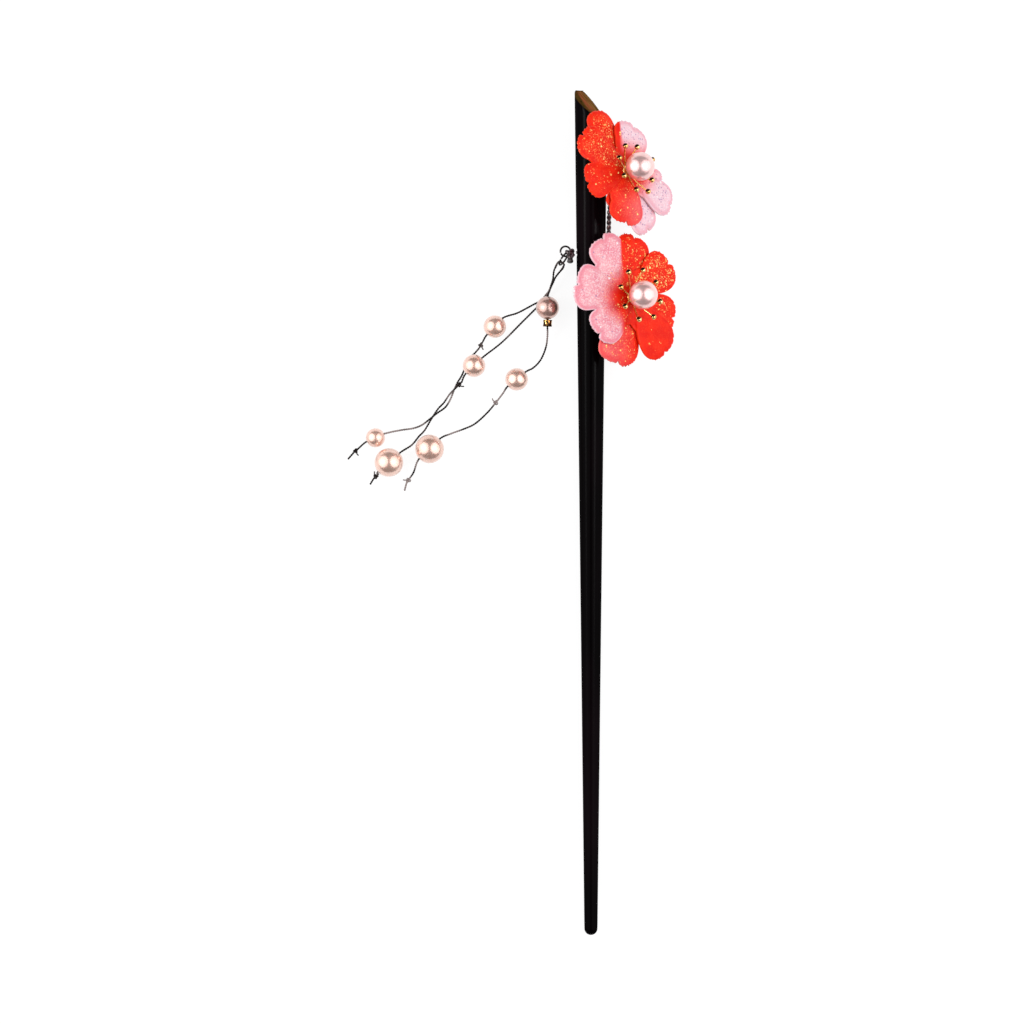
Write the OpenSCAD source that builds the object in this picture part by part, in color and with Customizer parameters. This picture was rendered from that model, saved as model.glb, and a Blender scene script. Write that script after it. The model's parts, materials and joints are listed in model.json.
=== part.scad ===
// Lacquered hairpin with two double cherry blossoms and a tassel of three pearl strands.
// It lies on the plane z = 0. The pin's point is at the origin, and the pin runs along +Y
// to its head. +X points to the side that the blossoms are on. Lengths are in millimetres.

/* [Pin] */
// Length from the point to the corner of the slanted cut
pin_length = 175; // [150:1:200]
// Diameter at the head
head_d = 6.8; // [6:0.1:7.5]
// Diameter at the point
tip_d = 2.7; // [2:0.1:3.6]
// Angle between the slanted cut and a square-cut end
cut_angle = 52; // [40:1:58]
// Turn of the slanted cut about the pin, from the side to the top
cut_turn = 23; // [0:1:60]
// How much of the cut's sharp corner is taken off square
blunt = 0.8; // [0.4:0.05:1.2]
// Distance of the cross hole from the head
hole_from_head = 33.8; // [30.5:0.1:36]
// Diameter of the cross hole
hole_d = 1.9; // [1.6:0.1:2.2]

/* [Blossoms] */
// Distance from a blossom's middle to its longest petal tips
blossom_r = 14; // [12:0.1:15]
// Thickness of a petal layer in its middle
petal_t = 0.9; // [0.7:0.05:1.1]
// Thickness of a petal at its rim
rim_t = 0.4; // [0.3:0.05:0.6]
// How far the rim lies behind the middle
rim_drop = 1.2; // [0.6:0.1:1.6]
// Depth of the notch in a petal's tip
notch_depth = 1.1; // [0.6:0.1:1.6]
// Gap between the two petal layers
layer_gap = 0.15; // [0.1:0.01:0.2]
// Distance of the upper blossom's middle from the head
upper_from_head = 17.2; // [16.4:0.1:18]
// Distance of the lower blossom's middle from the head
lower_from_head = 43.2; // [42.8:0.1:46]
// Distance of the upper blossom's middle from the pin's axis
upper_out = 7.4; // [7:0.1:8.5]
// Distance of the lower blossom's middle from the pin's axis
lower_out = 8.4; // [7.5:0.1:9]
// Lean of the upper blossom away from the pin
upper_lean = 42; // [38:1:45]
// Lean of the lower blossom away from the pin
lower_lean = 34; // [29:1:38]
// Turn of the upper blossom's lean towards the head
upper_heading = 18; // [10:1:30]
// Turn of the lower blossom's lean towards the head
lower_heading = 10; // [4:1:14]

/* [Stamens] */
// Diameter of a stamen's wire
stamen_d = 0.34; // [0.3:0.02:0.5]
// Diameter of the ball on its end
stamen_ball_d = 1.16; // [0.8:0.02:1.3]
// Mean radius of the ring of balls
stamen_r = 4.9; // [4.8:0.1:5.6]
// Height of the balls above the petals
stamen_h = 3.4; // [3:0.1:4]
// Diameter of the disc that the stamens stand on
hub_d = 2.6; // [2:0.1:3.5]
// Thickness of that disc
hub_t = 0.35; // [0.2:0.05:0.5]
// Height of the pearl's middle above the petals
pearl_h = 4.2; // [4.1:0.1:5]
// Diameter of the peg that the pearl is set on
peg_d = 0.8; // [0.6:0.05:1]

/* [Posts] */
// Diameter of the pad behind a blossom
pad_d = 6; // [4:0.1:8]
// Thickness of the pad
pad_t = 0.6; // [0.5:0.05:0.8]
// Diameter of the post from the pad into the pin
post_d = 1.4; // [1:0.1:1.8]
// How deep the post goes into the pin
post_depth = 2.1; // [1.2:0.1:2.3]

/* [Pearls] */
// Diameter of the blossoms' pearls
blossom_pearl_d = 6; // [5:0.1:6.4]
// Diameter of the pearl under the rings
top_pearl_d = 4.8; // [4:0.1:5]
// Diameter of the small pearls along the strands
small_pearl_d = 4.7; // [4:0.1:5]
// Diameter of the small pearl at a strand's end
end_pearl_d = 4; // [3:0.1:4.4]
// Diameter of the large pearls at the strands' ends
large_pearl_d = 6; // [5:0.1:6.2]
// Diameter of the strand pearls' bores
bore_d = 0.9; // [0.8:0.05:1.1]

/* [Cord, rings and threads] */
// Diameter of the twisted cord
cord_d = 1; // [0.9:0.05:1.2]
// Diameter of the knot at the end of the twisted cord
cord_knot_d = 2.4; // [2:0.1:2.6]
// Diameter of the bound end that hangs from that knot
cord_end_d = 1.5; // [1.2:0.05:1.6]
// Diameter of the small ring, to the middle of its wire
small_ring_d = 2.05; // [2:0.05:2.3]
// Diameter of the large ring, to the middle of its wire
large_ring_d = 2.9; // [2.8:0.05:3.1]
// Diameter of the rings' wire
wire_d = 0.4; // [0.3:0.02:0.44]
// Reach of the longest strand across the pin, from the large ring to its thread's end
tassel_reach = 44.6; // [42:0.2:47]
// Diameter of the strands' thread
thread_d = 0.4; // [0.3:0.02:0.44]
// Diameter of a thread knot
thread_knot_d = 1; // [0.8:0.05:1.1]
// Diameter of the gold crimp
crimp_d = 1.9; // [1.4:0.05:2.1]
// Length of the gold crimp
crimp_length = 1.4; // [1:0.05:1.8]

/* [Hidden] */
$fn = 48;
// Angle between two corners of the rounded point
tip_step = 15;
// Clearance of a peg, post or ring in its hole, all round
fit = 0.05;
// Gap between pieces that are set face to face
seat = 0.1;
// Height of a blossom's lowest petal above the surface
floor_gap = 0.05;
// Steps round a petal's half, and the rings of points from the middle to the rim
half_steps = 8;
ring_shares = [0.2, 0.45, 0.7, 0.88, 1];
// Radius where two petals of a layer meet, as a share of the petal's length: for petals
// that stand apart by the wide gap in degrees, and for petals that touch
valley_share = 0.42;
near_valley_share = 0.74;
wide_gap = 12;
// Serrations beside the notch, as a share of its depth
serration_share = 0.3;
thread_sides = 6;
cord_sides = 8;
// Longest step between two rings of a swept tube, in diameters
sweep_step = 2.2;

// Petals of a layer, counted against the clock from the side that the blossom leans to.
// The length is a share of blossom_r, and the width is half the petal's spread in degrees.
ANGLE = 0;
LENGTH = 1;
WIDTH = 2;
UPPER_FRONT = [[51, 0.83, 33], [126, 0.92, 25], [180, 0.78, 28], [251, 0.81, 31], [318, 1.03, 22]];
UPPER_BACK = [[94, 1, 21], [163, 0.66, 16], [226, 0.6, 16], [283, 0.99, 22], [340, 0.86, 17]];
LOWER_FRONT = [[26, 0.99, 28], [105, 1.02, 25], [159, 0.96, 29], [216, 0.83, 31], [300, 1.05, 28]];
LOWER_BACK = [[67, 1, 25], [132, 0.6, 16], [192, 0.6, 16], [251, 1.02, 28], [333, 0.94, 27]];
// Stamens of a blossom: angle, and reach as a share of stamen_r
REACH = 1;
UPPER_STAMENS = [
  [8, 0.94], [68, 0.89], [106, 1.05], [144, 1.02], [191, 0.91], [242, 1], [277, 1.11], [309, 0.88]
];
LOWER_STAMENS = [
  [27, 0.97], [73, 1.08], [112, 1.13], [153, 1.06], [201, 0.96], [252, 1.03], [294, 1.07], [337, 0.99]
];

// Derived places on the pin
pin_lean = asin((head_d - tip_d) / 2 / pin_length);
hole_y = pin_length - hole_from_head;
function pin_r(y) = tip_d / 2 + (head_d - tip_d) / 2 * y / pin_length;
upper_y = pin_length - upper_from_head;
lower_y = pin_length - lower_from_head;

// A blossom's place, as [out, y, lean, heading]
OUT = 0;
Y = 1;
LEAN = 2;
HEADING = 3;
UPPER = [upper_out, upper_y, upper_lean, upper_heading];
LOWER = [lower_out, lower_y, lower_lean, lower_heading];

// Heights of the layers' undersides in a blossom, whose middle is at its front face
front_z = -petal_t;
back_z = -2 * petal_t - layer_gap;
pad_z = back_z - seat - pad_t;

// Rings and knot beside the cross hole. The small ring lies flat and passes through the knot.
ring_z = pin_r(hole_y);
knot_x = -(pin_r(hole_y) + seat + cord_knot_d / 2);
knot_y = hole_y - cord_knot_d / 11;
cord_end_y = knot_y - 0.35 * (cord_knot_d + cord_end_d);
small_ring_x = knot_x - small_ring_d / 2 + fit;
small_ring_y = hole_y + small_ring_d / 10;
// The large ring stands nearly upright and hangs in the small one. Their middles are apart by a
// share of the sum of their radii.
link_share = 0.647;
link_way = 255.5;
link = link_share * (small_ring_d + large_ring_d) / 2;
large_ring_turn = 237;
large_ring_tilt = 16;
large_ring_x = small_ring_x + link * cos(link_way);
large_ring_y = small_ring_y + link * sin(link_way);
large_ring_z = ring_z - large_ring_d / 12;

// The strands are drawn for this reach, and past their start they stretch to tassel_reach
drawn_reach = 44.6;
strand_start = 4;
strand_stretch = (tassel_reach - strand_start) / (drawn_reach - strand_start);
function stretched(across) =
  across > -strand_start ? across : (across + strand_start) * strand_stretch - strand_start;

// Strand pearls: distance from the large ring's middle, diameter, and way of the bore
NAME = 0;
ACROSS = 1;
ALONG = 2;
D = 3;
TURN = 4;
PEARLS = [
  ["top_pearl", -3.3, -10.1, top_pearl_d, 268],
  ["inner_pearl", -14.2, -14, small_pearl_d, 226],
  ["middle_pearl", -18.5, -22.1, small_pearl_d, 224],
  ["outer_pearl", -9.7, -24.9, small_pearl_d, 219],
  ["end_pearl", -38.9, -37, end_pearl_d, 204],
  ["left_end_pearl", -36.1, -42.1, large_pearl_d, 221],
  ["right_end_pearl", -27.7, -39.3, large_pearl_d, 224]
];
// Knots of the thread: distance from the large ring's middle, height, and way of the thread
HEIGHT = 3;
KNOTS = [
  ["inner_knot", -17.1, -17.8, 1.3, 240],
  ["middle_knot", -21.6, -26, 1.6, 225],
  ["outer_knot", -14, -29.7, 1.2, 231],
  ["end_knot", -43, -39.7, 0.9, 222],
  ["left_end_knot", -38.8, -45, 1.3, 224],
  ["right_end_knot", -32.1, -45.8, 0.8, 238]
];
crimp_down = top_pearl_d / 2 + seat + crimp_length / 2;
TOP = PEARLS[0];
CRIMP = ["gold_crimp", TOP[ACROSS], TOP[ALONG] - crimp_down, top_pearl_d / 2, TOP[TURN]];

// Routes of the threads. A point is [across, along, height] from the large ring's middle,
// with the height above the surface, and a name stands for the way through that bead.
LONG_ROUTE = [
  [-44.6, -41.4, 0.4],
  "end_knot",
  "end_pearl",
  [-33.6, -35.4, 1.2],
  [-31, -35, 0.9],
  [-29.1, -34.2, 0.5],
  [-26.3, -32, 0.25],
  [-24.4, -30.6, 0.25],
  [-23.3, -28.8, 0.25],
  [-22.7, -27.2, 0.25],
  [-21.8, -25.3, 0.25],
  [-21, -24, 0.25],
  [-19.7, -20.9, 0.25],
  [-18.3, -19.4, 0.6],
  "inner_knot",
  "inner_pearl",
  [-9.6, -11.2, 1.3],
  [-7.1, -9.9, 0.9],
  [-6.2, -9.4, 0.7],
  [-5.4, -9, 0.62],
  [-4.7, -8.5, 0.68],
  [-4.15, -8, 0.8],
  [-3.65, -7.4, 0.95],
  [-3.15, -6.8, 1.25],
  [-2.8, -6.1, 1.6],
  [-2.5, -5.2, 1.9],
  [-2.2, -4.3, 2.15],
  [-2.1, -3.4, 2.3],
  [-2, -2.6, 2.36],
  [-1.6, -1.5, 2.36],
  [-1.1, -0.7, 2.36],
  [-0.45, -0.7, 2.36],
  [0.1, -1.1, 2.36],
  [-0.1, -1.7, 2.34],
  [-0.65, -2.5, 2.2],
  [-1.3, -3.3, 1.95],
  [-1.85, -4.1, 1.65],
  [-2.3, -5, 1.35],
  [-2.7, -6, 1],
  [-3, -6.9, 0.6],
  [-3.35, -7.6, 0.35],
  [-3.85, -8.3, 0.25],
  [-4.5, -9, 0.25],
  [-6.2, -10.7, 0.25],
  [-8.6, -13.1, 0.6],
  [-12.7, -17.2, 1.3],
  "middle_pearl",
  "middle_knot",
  [-23.5, -27.9, 0.95],
  [-24.8, -29.8, 0.75],
  [-25.8, -30.8, 0.75],
  [-27.1, -32.7, 0.8],
  [-28.7, -35.4, 1.2],
  [-29.9, -36.7, 1.7],
  [-31.4, -38.5, 2.4],
  "left_end_pearl",
  "left_end_knot",
  [-40, -46.6, 0.6]
];
SHORT_ROUTE = [
  [-1.75, -2, 3],
  [-1.4, -1.2, 3],
  [-1, -0.6, 3],
  [-0.4, -0.65, 3],
  [0.1, -1.15, 3],
  [-0.1, -1.9, 3],
  [-0.85, -2.75, 2.9],
  [-1.65, -3.8, 2.75],
  [-2.2, -5, 2.65],
  [-2.75, -6.2, 2.5],
  "top_pearl",
  "gold_crimp",
  [-3.3, -15.3, 1.6],
  [-3.4, -16.9, 1.1],
  [-3.6, -18.1, 0.9],
  [-4.3, -19.9, 1],
  [-5.6, -22, 1.5],
  "outer_pearl",
  [-12.4, -27.6, 1.6],
  "outer_knot",
  [-15.4, -31.4, 0.8],
  [-16.9, -32.9, 0.5],
  [-18.5, -34.2, 0.4],
  [-20.2, -35.3, 0.6],
  [-21.8, -36, 1.1],
  [-23.2, -36.7, 1.8],
  "right_end_pearl",
  [-31, -44.1, 1.6],
  "right_end_knot",
  [-32.9, -47.9, 0.3]
];
// Route of the twisted cord. A point is [out from the pin's axis, along from the cross
// hole, up from the hole's middle].
CORD_ROUTE = [
  [4.5, 15, 2.3],
  [4.35, 13, 2],
  [4, 10.4, 1.4],
  [3.76, 7.8, 0.7],
  [3.68, 4.6, 0.2],
  [3.66, 2.4, 0],
  [3.66, 1, 0],
  [3.15, 0.15, 0],
  [2.3, 0, 0],
  [0, 0, 0]
];

// Petal layer: points of one layer, worked out from its table of petals

function gap_after(petals, k) =
  let (next = petals[(k + 1) % len(petals)][ANGLE] + (k + 1 == len(petals) ? 360 : 0))
  (next - petals[k][ANGLE]) / 2;
function gap_before(petals, k) = gap_after(petals, (k + len(petals) - 1) % len(petals));

// Place across a petal, from -1 at one side to 1 at the other, close together at the sides
function across(i) = sin(90 * (i - half_steps) / half_steps);
function tip_cut(i) =
  i == half_steps ? notch_depth
  : i % 2 == 0 && abs(across(i)) < 0.8 ? notch_depth * serration_share
  : 0;
function rim_r(length, i, valley) =
  let (fill = sqrt(1 - pow(abs(across(i)), 3)))
  length * (valley + (1 - valley) * fill) - tip_cut(i) * fill;
function valley_of(gap, width) =
  valley_share + (near_valley_share - valley_share) * max(0, 1 - max(0, gap - width) / wide_gap);

// One entry for each spoke: its angle, its reach and its place across the petal
function spokes(petals) = [
  for (k = [0:len(petals) - 1]) for (i = [0:2 * half_steps - 1])
    let (
      before = petals[(k + len(petals) - 1) % len(petals)],
      gap = across(i) < 0 ? gap_before(petals, k) : gap_after(petals, k),
      side = i == 0 ? gap : min(gap * 0.97, petals[k][WIDTH]),
      valley = valley_of(gap, petals[k][WIDTH])
    )
    [
      petals[k][ANGLE] + across(i) * side,
      // Neighbours share the spoke between them, so it has the mean of their reaches
      i == 0
        ? valley * blossom_r * (petals[k][LENGTH] + before[LENGTH]) / 2
        : rim_r(petals[k][LENGTH] * blossom_r, i, valley),
      across(i)
    ]
];

// The underside is a shallow dome, and each petal swells from its thin rim
function dome(r) = -rim_drop * pow(r / blossom_r, 2);
function swell(share, place) = sqrt(1 - pow(share, 4)) * (1 - 0.75 * share * pow(place, 2));
function thickness(share, place) = rim_t + (petal_t - rim_t) * swell(share, place);

function layer_side(petals, z, top) = [
  for (spoke = spokes(petals)) for (share = ring_shares)
    let (r = spoke[1] * share)
    [
      r * cos(spoke[0]),
      r * sin(spoke[0]),
      z + dome(r) + (top ? thickness(share, spoke[2]) : 0)
    ]
];
function layer_points(petals, z) = concat(
  layer_side(petals, z, true),
  layer_side(petals, z, false),
  [[0, 0, z + petal_t], [0, 0, z]]
);

module petal_layer(petals, z) {
  rings = len(ring_shares);
  count = len(petals) * 2 * half_steps;
  under = count * rings;
  top_middle = 2 * under;
  bottom_middle = top_middle + 1;
  function at(spoke, ring) = (spoke % count) * rings + ring;
  faces = concat(
    [for (s = [0:count - 1]) [top_middle, at(s + 1, 0), at(s, 0)]],
    [for (s = [0:count - 1]) [bottom_middle, under + at(s, 0), under + at(s + 1, 0)]],
    [for (s = [0:count - 1]) for (j = [0:rings - 2]) each [
      [at(s, j), at(s + 1, j), at(s + 1, j + 1)],
      [at(s, j), at(s + 1, j + 1), at(s, j + 1)],
      [under + at(s, j), under + at(s + 1, j + 1), under + at(s + 1, j)],
      [under + at(s, j), under + at(s, j + 1), under + at(s + 1, j + 1)]
    ]],
    [for (s = [0:count - 1]) each [
      [at(s, rings - 1), at(s + 1, rings - 1), under + at(s + 1, rings - 1)],
      [at(s, rings - 1), under + at(s + 1, rings - 1), under + at(s, rings - 1)]
    ]]
  );
  polyhedron(points = layer_points(petals, z), faces = faces);
}

// A blossom leans until its lowest petal is just clear of the surface
function lowest(points, lean) = min([for (p = points) p[2] * cos(lean) - p[0] * sin(lean)]);
function lift(place, front, back) =
  floor_gap - min(
    lowest(layer_points(front, front_z), place[LEAN]),
    lowest(layer_points(back, back_z), place[LEAN])
  );
upper_lift = lift(UPPER, UPPER_FRONT, UPPER_BACK);
lower_lift = lift(LOWER, LOWER_FRONT, LOWER_BACK);

module in_blossom(place, height) {
  translate([place[OUT], place[Y], height])
    rotate([0, place[LEAN], place[HEADING]])
      children();
}
// The pin's own frame: +Z runs from its point to its head along its leaning axis
module in_pin() {
  translate([0, 0, tip_d / 2])
    rotate([pin_lean - 90, 0, 0])
      children();
}

// Middle of a pad's underside, where its post starts
function pad_foot(place, height) =
  let (lean = place[LEAN], heading = place[HEADING], z = pad_z + pad_t / 4)
  [
    place[OUT] + z * sin(lean) * cos(heading),
    place[Y] + z * sin(lean) * sin(heading),
    height + z * cos(lean)
  ];
// The post runs square to the pin's axis, from the pad's foot to the bottom of its hole
module along_post(place, height, d, start, end) {
  foot = pad_foot(place, height);
  rise = foot[2] - pin_r(foot[1]);
  length = norm([foot[0], rise]);
  translate([0, foot[1], pin_r(foot[1])])
    rotate([0, 90 - atan2(rise, foot[0]), 0])
      translate([0, 0, pin_r(foot[1]) - start])
        cylinder(h = (end ? length - pin_r(foot[1]) : 1) + start, d = d);
}

module stick() {
  color("#1b1013") difference() {
    in_pin() rotate([0, 0, 90]) rotate_extrude() polygon(concat(
      [for (a = [-90:tip_step:0]) tip_d / 2 * [cos(a), 1 + sin(a)]],
      [[head_d / 2, pin_length], [0, pin_length]]
    ));
    slanted_cut();
    translate([-head_d, hole_y, pin_r(hole_y)])
      rotate([0, 90, 0])
        cylinder(h = 2 * head_d, d = hole_d);
    along_post(UPPER, upper_lift, post_d + 2 * fit, post_depth + seat, false);
    along_post(LOWER, lower_lift, post_d + 2 * fit, post_depth + seat, false);
  }
}
// Block that takes away the head above the slanted face
module slanted_cut() {
  middle_y = pin_length + blunt - head_d / 2 * tan(cut_angle);
  translate([0, middle_y, pin_r(middle_y)])
    rotate([0, -cut_turn, 0])
      rotate([0, 0, -cut_angle])
        translate([-2 * head_d, 0, -2 * head_d])
          cube([4 * head_d, 2 * head_d, 4 * head_d]);
}

module upper_front() {
  color("#ff4a28") in_blossom(UPPER, upper_lift) petal_layer(UPPER_FRONT, front_z);
}
module upper_back() {
  color("#f8aabc") in_blossom(UPPER, upper_lift) petal_layer(UPPER_BACK, back_z);
}
module lower_front() {
  color("#f8aabc") in_blossom(LOWER, lower_lift) petal_layer(LOWER_FRONT, front_z);
}
module lower_back() {
  color("#ff4a28") in_blossom(LOWER, lower_lift) petal_layer(LOWER_BACK, back_z);
}

// Stamens, hub and peg are one gold casting
module stamens(rows) {
  foot_r = hub_d / 5;
  foot_h = seat + hub_t / 2;
  translate([0, 0, seat]) cylinder(h = hub_t, d = hub_d);
  translate([0, 0, seat]) cylinder(h = pearl_h - peg_d - seat, d = peg_d);
  for (row = rows) {
    ball_r = stamen_r * row[REACH];
    rise = [ball_r - foot_r, stamen_h - foot_h];
    rotate(row[ANGLE]) {
      translate([foot_r, 0, foot_h])
        rotate([0, atan2(rise[0], rise[1]), 0])
          cylinder(h = norm(rise), d = stamen_d);
      translate([ball_r, 0, stamen_h])
        sphere(d = stamen_ball_d);
    }
  }
}
module upper_stamens() {
  color("#e0b050") in_blossom(UPPER, upper_lift) stamens(UPPER_STAMENS);
}
module lower_stamens() {
  color("#e0b050") in_blossom(LOWER, lower_lift) stamens(LOWER_STAMENS);
}

module blossom_pearl() {
  translate([0, 0, pearl_h]) difference() {
    sphere(d = blossom_pearl_d);
    translate([0, 0, -blossom_pearl_d])
      cylinder(h = blossom_pearl_d - peg_d + seat, d = peg_d + 2 * fit);
  }
}
module upper_pearl() {
  color("#f4dfe2") in_blossom(UPPER, upper_lift) blossom_pearl();
}
module lower_pearl() {
  color("#f4dfe2") in_blossom(LOWER, lower_lift) blossom_pearl();
}

module post(place, height) {
  in_blossom(place, height) translate([0, 0, pad_z]) cylinder(h = pad_t, d = pad_d);
  along_post(place, height, post_d, post_depth, true);
}
module upper_post() {
  color("#c9a24a") post(UPPER, upper_lift);
}
module lower_post() {
  color("#c9a24a") post(LOWER, lower_lift);
}

// Tube swept along a smooth line through chosen points

// Smooth line through four points, from the second to the third
function between(a, b, c, d, t) =
  0.5 * (2 * b + (c - a) * t + (2 * a - 5 * b + 4 * c - d) * t * t
    + (3 * b - a - 3 * c + d) * t * t * t);
function smooth(points, step) =
  let (last = len(points) - 1)
  concat(
    [for (i = [0:last - 1])
      let (
        before = points[max(i - 1, 0)],
        after = points[min(i + 2, last)],
        count = max(1, ceil(norm(points[i + 1] - points[i]) / step))
      )
      for (j = [0:count - 1]) between(before, points[i], points[i + 1], after, j / count)
    ],
    [points[last]]
  );
function unit(v) = v / norm(v);
function tangent(line, i) = unit(line[min(i + 1, len(line) - 1)] - line[max(i - 1, 0)]);
// The sides are carried from ring to ring, so that the tube doesn't twist
function carried(line, i, side) = let (t = tangent(line, i)) unit(side - (side * t) * t);
function sides(line) = [
  for (
    i = 0, side = carried(line, 0, [0.1, 0.2, 1]);
    i < len(line);
    i = i + 1, side = i < len(line) ? carried(line, i, side) : side
  ) side
];
module tube(line, d, count) {
  side = sides(line);
  last = len(line) - 1;
  points = [
    for (i = [0:last]) for (k = [0:count - 1])
      let (angle = 360 * k / count, other = cross(tangent(line, i), side[i]))
      line[i] + d / 2 * (side[i] * cos(angle) + other * sin(angle))
  ];
  function at(i, k) = i * count + k % count;
  faces = concat(
    [[for (k = [0:count - 1]) k]],
    [[for (k = [count - 1:-1:0]) last * count + k]],
    [for (i = [0:last - 1]) for (k = [0:count - 1]) each [
      [at(i, k), at(i + 1, k), at(i + 1, k + 1)],
      [at(i, k), at(i + 1, k + 1), at(i, k + 1)]
    ]]
  );
  polyhedron(points = points, faces = faces);
}

module tie_cord() {
  end = [-pin_r(hole_y), 0, 0];
  color("#43161f") translate([0, hole_y, ring_z])
    tube(smooth(concat(CORD_ROUTE, [end]), sweep_step * cord_d), cord_d, cord_sides);
}
module cord_knot() {
  color("#43161f") difference() {
    union() {
      translate([knot_x, knot_y, ring_z]) sphere(d = cord_knot_d);
      translate([knot_x, cord_end_y, ring_z]) sphere(d = cord_end_d);
    }
    in_small_ring() ring(small_ring_d, wire_d + 2 * fit);
    in_large_ring() ring(large_ring_d, wire_d + 2 * fit);
  }
}

module ring(d, wire) {
  rotate_extrude() translate([d / 2, 0]) circle(d = wire);
}
module in_small_ring() {
  translate([small_ring_x, small_ring_y, ring_z]) children();
}
module in_large_ring() {
  translate([large_ring_x, large_ring_y, large_ring_z])
    rotate([90 + large_ring_tilt, 0, large_ring_turn])
      children();
}
module small_ring() {
  color("#4a4442") in_small_ring() ring(small_ring_d, wire_d);
}
module large_ring() {
  color("#4a4442") in_large_ring() ring(large_ring_d, wire_d);
}

// Strands: a row of PEARLS or KNOTS, or the crimp, gives the two ends of its bore

function row_of(name) =
  let (rows = [for (row = concat(PEARLS, KNOTS, [CRIMP])) if (row[NAME] == name) row])
  rows[0];
function is_pearl(name) = len([for (row = PEARLS) if (row[NAME] == name) 1]) > 0;
function middle(row) =
  [stretched(row[ACROSS]), row[ALONG], is_pearl(row[NAME]) ? row[D] / 2 : row[HEIGHT]];
function half_length(row) =
  is_pearl(row[NAME]) ? row[D] / 2 : row[NAME] == CRIMP[NAME] ? crimp_length / 2 : thread_knot_d / 2;
function way(row) = [cos(row[TURN]), sin(row[TURN]), 0];
// The long thread runs back up its first strand, so its bores there are passed in reverse
function through(row, reverse) =
  let (reach = (half_length(row) + thread_d / 2) * way(row) * (reverse ? -1 : 1))
  [middle(row) - reach, middle(row), middle(row) + reach];
UPWARD = ["end_knot", "end_pearl", "inner_knot", "inner_pearl"];
function points_of(route) = [
  for (entry = route)
    each is_string(entry)
      ? through(row_of(entry), len([for (name = UPWARD) if (name == entry) 1]) > 0)
      : [[stretched(entry[0]), entry[1], entry[2]]]
];
module from_large_ring() {
  translate([large_ring_x, large_ring_y, 0]) children();
}
module long_thread() {
  color("#3a2a2a") from_large_ring()
    tube(smooth(points_of(LONG_ROUTE), sweep_step * thread_d), thread_d, thread_sides);
}
module short_thread() {
  color("#3a2a2a") from_large_ring()
    tube(smooth(points_of(SHORT_ROUTE), sweep_step * thread_d), thread_d, thread_sides);
}
// Turns +Z to the way of a bore
module along_bore(row) {
  from_large_ring()
    translate(middle(row))
      rotate([0, 90, row[TURN]])
        children();
}
module strand_pearl(row) {
  color("#e2c6b6") along_bore(row) difference() {
    sphere(d = row[D]);
    cylinder(h = 2 * row[D], d = bore_d, center = true);
  }
}
module thread_knot(row) {
  color("#3a2a2a") along_bore(row) difference() {
    sphere(d = thread_knot_d);
    cylinder(h = 2 * thread_knot_d, d = thread_d + 4 * fit, center = true);
  }
}
module gold_crimp() {
  color("#d9a23c") along_bore(CRIMP) difference() {
    cylinder(h = crimp_length, d = crimp_d, center = true);
    cylinder(h = 2 * crimp_length, d = bore_d, center = true);
  }
}

stick();
upper_front();
upper_back();
lower_front();
lower_back();
upper_stamens();
lower_stamens();
upper_pearl();
lower_pearl();
upper_post();
lower_post();
tie_cord();
cord_knot();
small_ring();
large_ring();
long_thread();
short_thread();
gold_crimp();
for (row = PEARLS)
  strand_pearl(row);
for (row = KNOTS)
  thread_knot(row);
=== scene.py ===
# %% [markdown]
# This lesson dresses a lacquered hairpin with two cherry blossoms of coloured resin and a
# tassel of pearls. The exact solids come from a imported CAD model, which stays fixed. Each
# step below makes one part of the ornament in mesh code and gives it a finish, and says why
# it is made that way. All lengths in Blender are metres, so small sizes are written times MM.

# %% Load the frame
import json
import math
import random

import bmesh
import bpy
import numpy as np
from mathutils import Matrix, Vector

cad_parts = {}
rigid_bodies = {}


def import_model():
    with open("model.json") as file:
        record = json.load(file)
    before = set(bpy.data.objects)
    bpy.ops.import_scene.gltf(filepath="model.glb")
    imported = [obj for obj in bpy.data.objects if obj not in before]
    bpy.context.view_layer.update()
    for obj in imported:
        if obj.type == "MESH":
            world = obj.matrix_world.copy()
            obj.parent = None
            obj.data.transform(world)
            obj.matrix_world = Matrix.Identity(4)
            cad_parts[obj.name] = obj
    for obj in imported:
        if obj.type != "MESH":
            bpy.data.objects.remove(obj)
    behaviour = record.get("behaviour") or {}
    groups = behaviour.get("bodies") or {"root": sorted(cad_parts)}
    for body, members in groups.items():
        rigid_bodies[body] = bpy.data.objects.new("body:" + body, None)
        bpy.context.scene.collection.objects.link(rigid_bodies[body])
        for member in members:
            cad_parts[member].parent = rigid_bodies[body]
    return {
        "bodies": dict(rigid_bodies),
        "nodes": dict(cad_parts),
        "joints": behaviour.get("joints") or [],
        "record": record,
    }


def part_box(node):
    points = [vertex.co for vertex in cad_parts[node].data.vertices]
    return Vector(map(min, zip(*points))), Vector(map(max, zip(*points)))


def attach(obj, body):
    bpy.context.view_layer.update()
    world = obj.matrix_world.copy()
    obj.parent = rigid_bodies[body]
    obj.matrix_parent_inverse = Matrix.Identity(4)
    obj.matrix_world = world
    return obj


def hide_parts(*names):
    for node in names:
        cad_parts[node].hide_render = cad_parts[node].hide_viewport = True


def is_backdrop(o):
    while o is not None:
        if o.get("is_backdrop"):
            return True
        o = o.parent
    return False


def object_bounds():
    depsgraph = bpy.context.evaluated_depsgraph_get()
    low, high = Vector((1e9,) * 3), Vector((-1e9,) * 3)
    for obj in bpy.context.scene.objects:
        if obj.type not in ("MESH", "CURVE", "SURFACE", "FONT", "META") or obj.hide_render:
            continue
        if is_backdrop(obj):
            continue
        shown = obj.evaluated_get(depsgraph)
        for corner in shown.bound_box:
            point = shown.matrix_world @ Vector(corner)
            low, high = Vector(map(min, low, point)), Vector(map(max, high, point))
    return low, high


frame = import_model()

MM = 0.001
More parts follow.
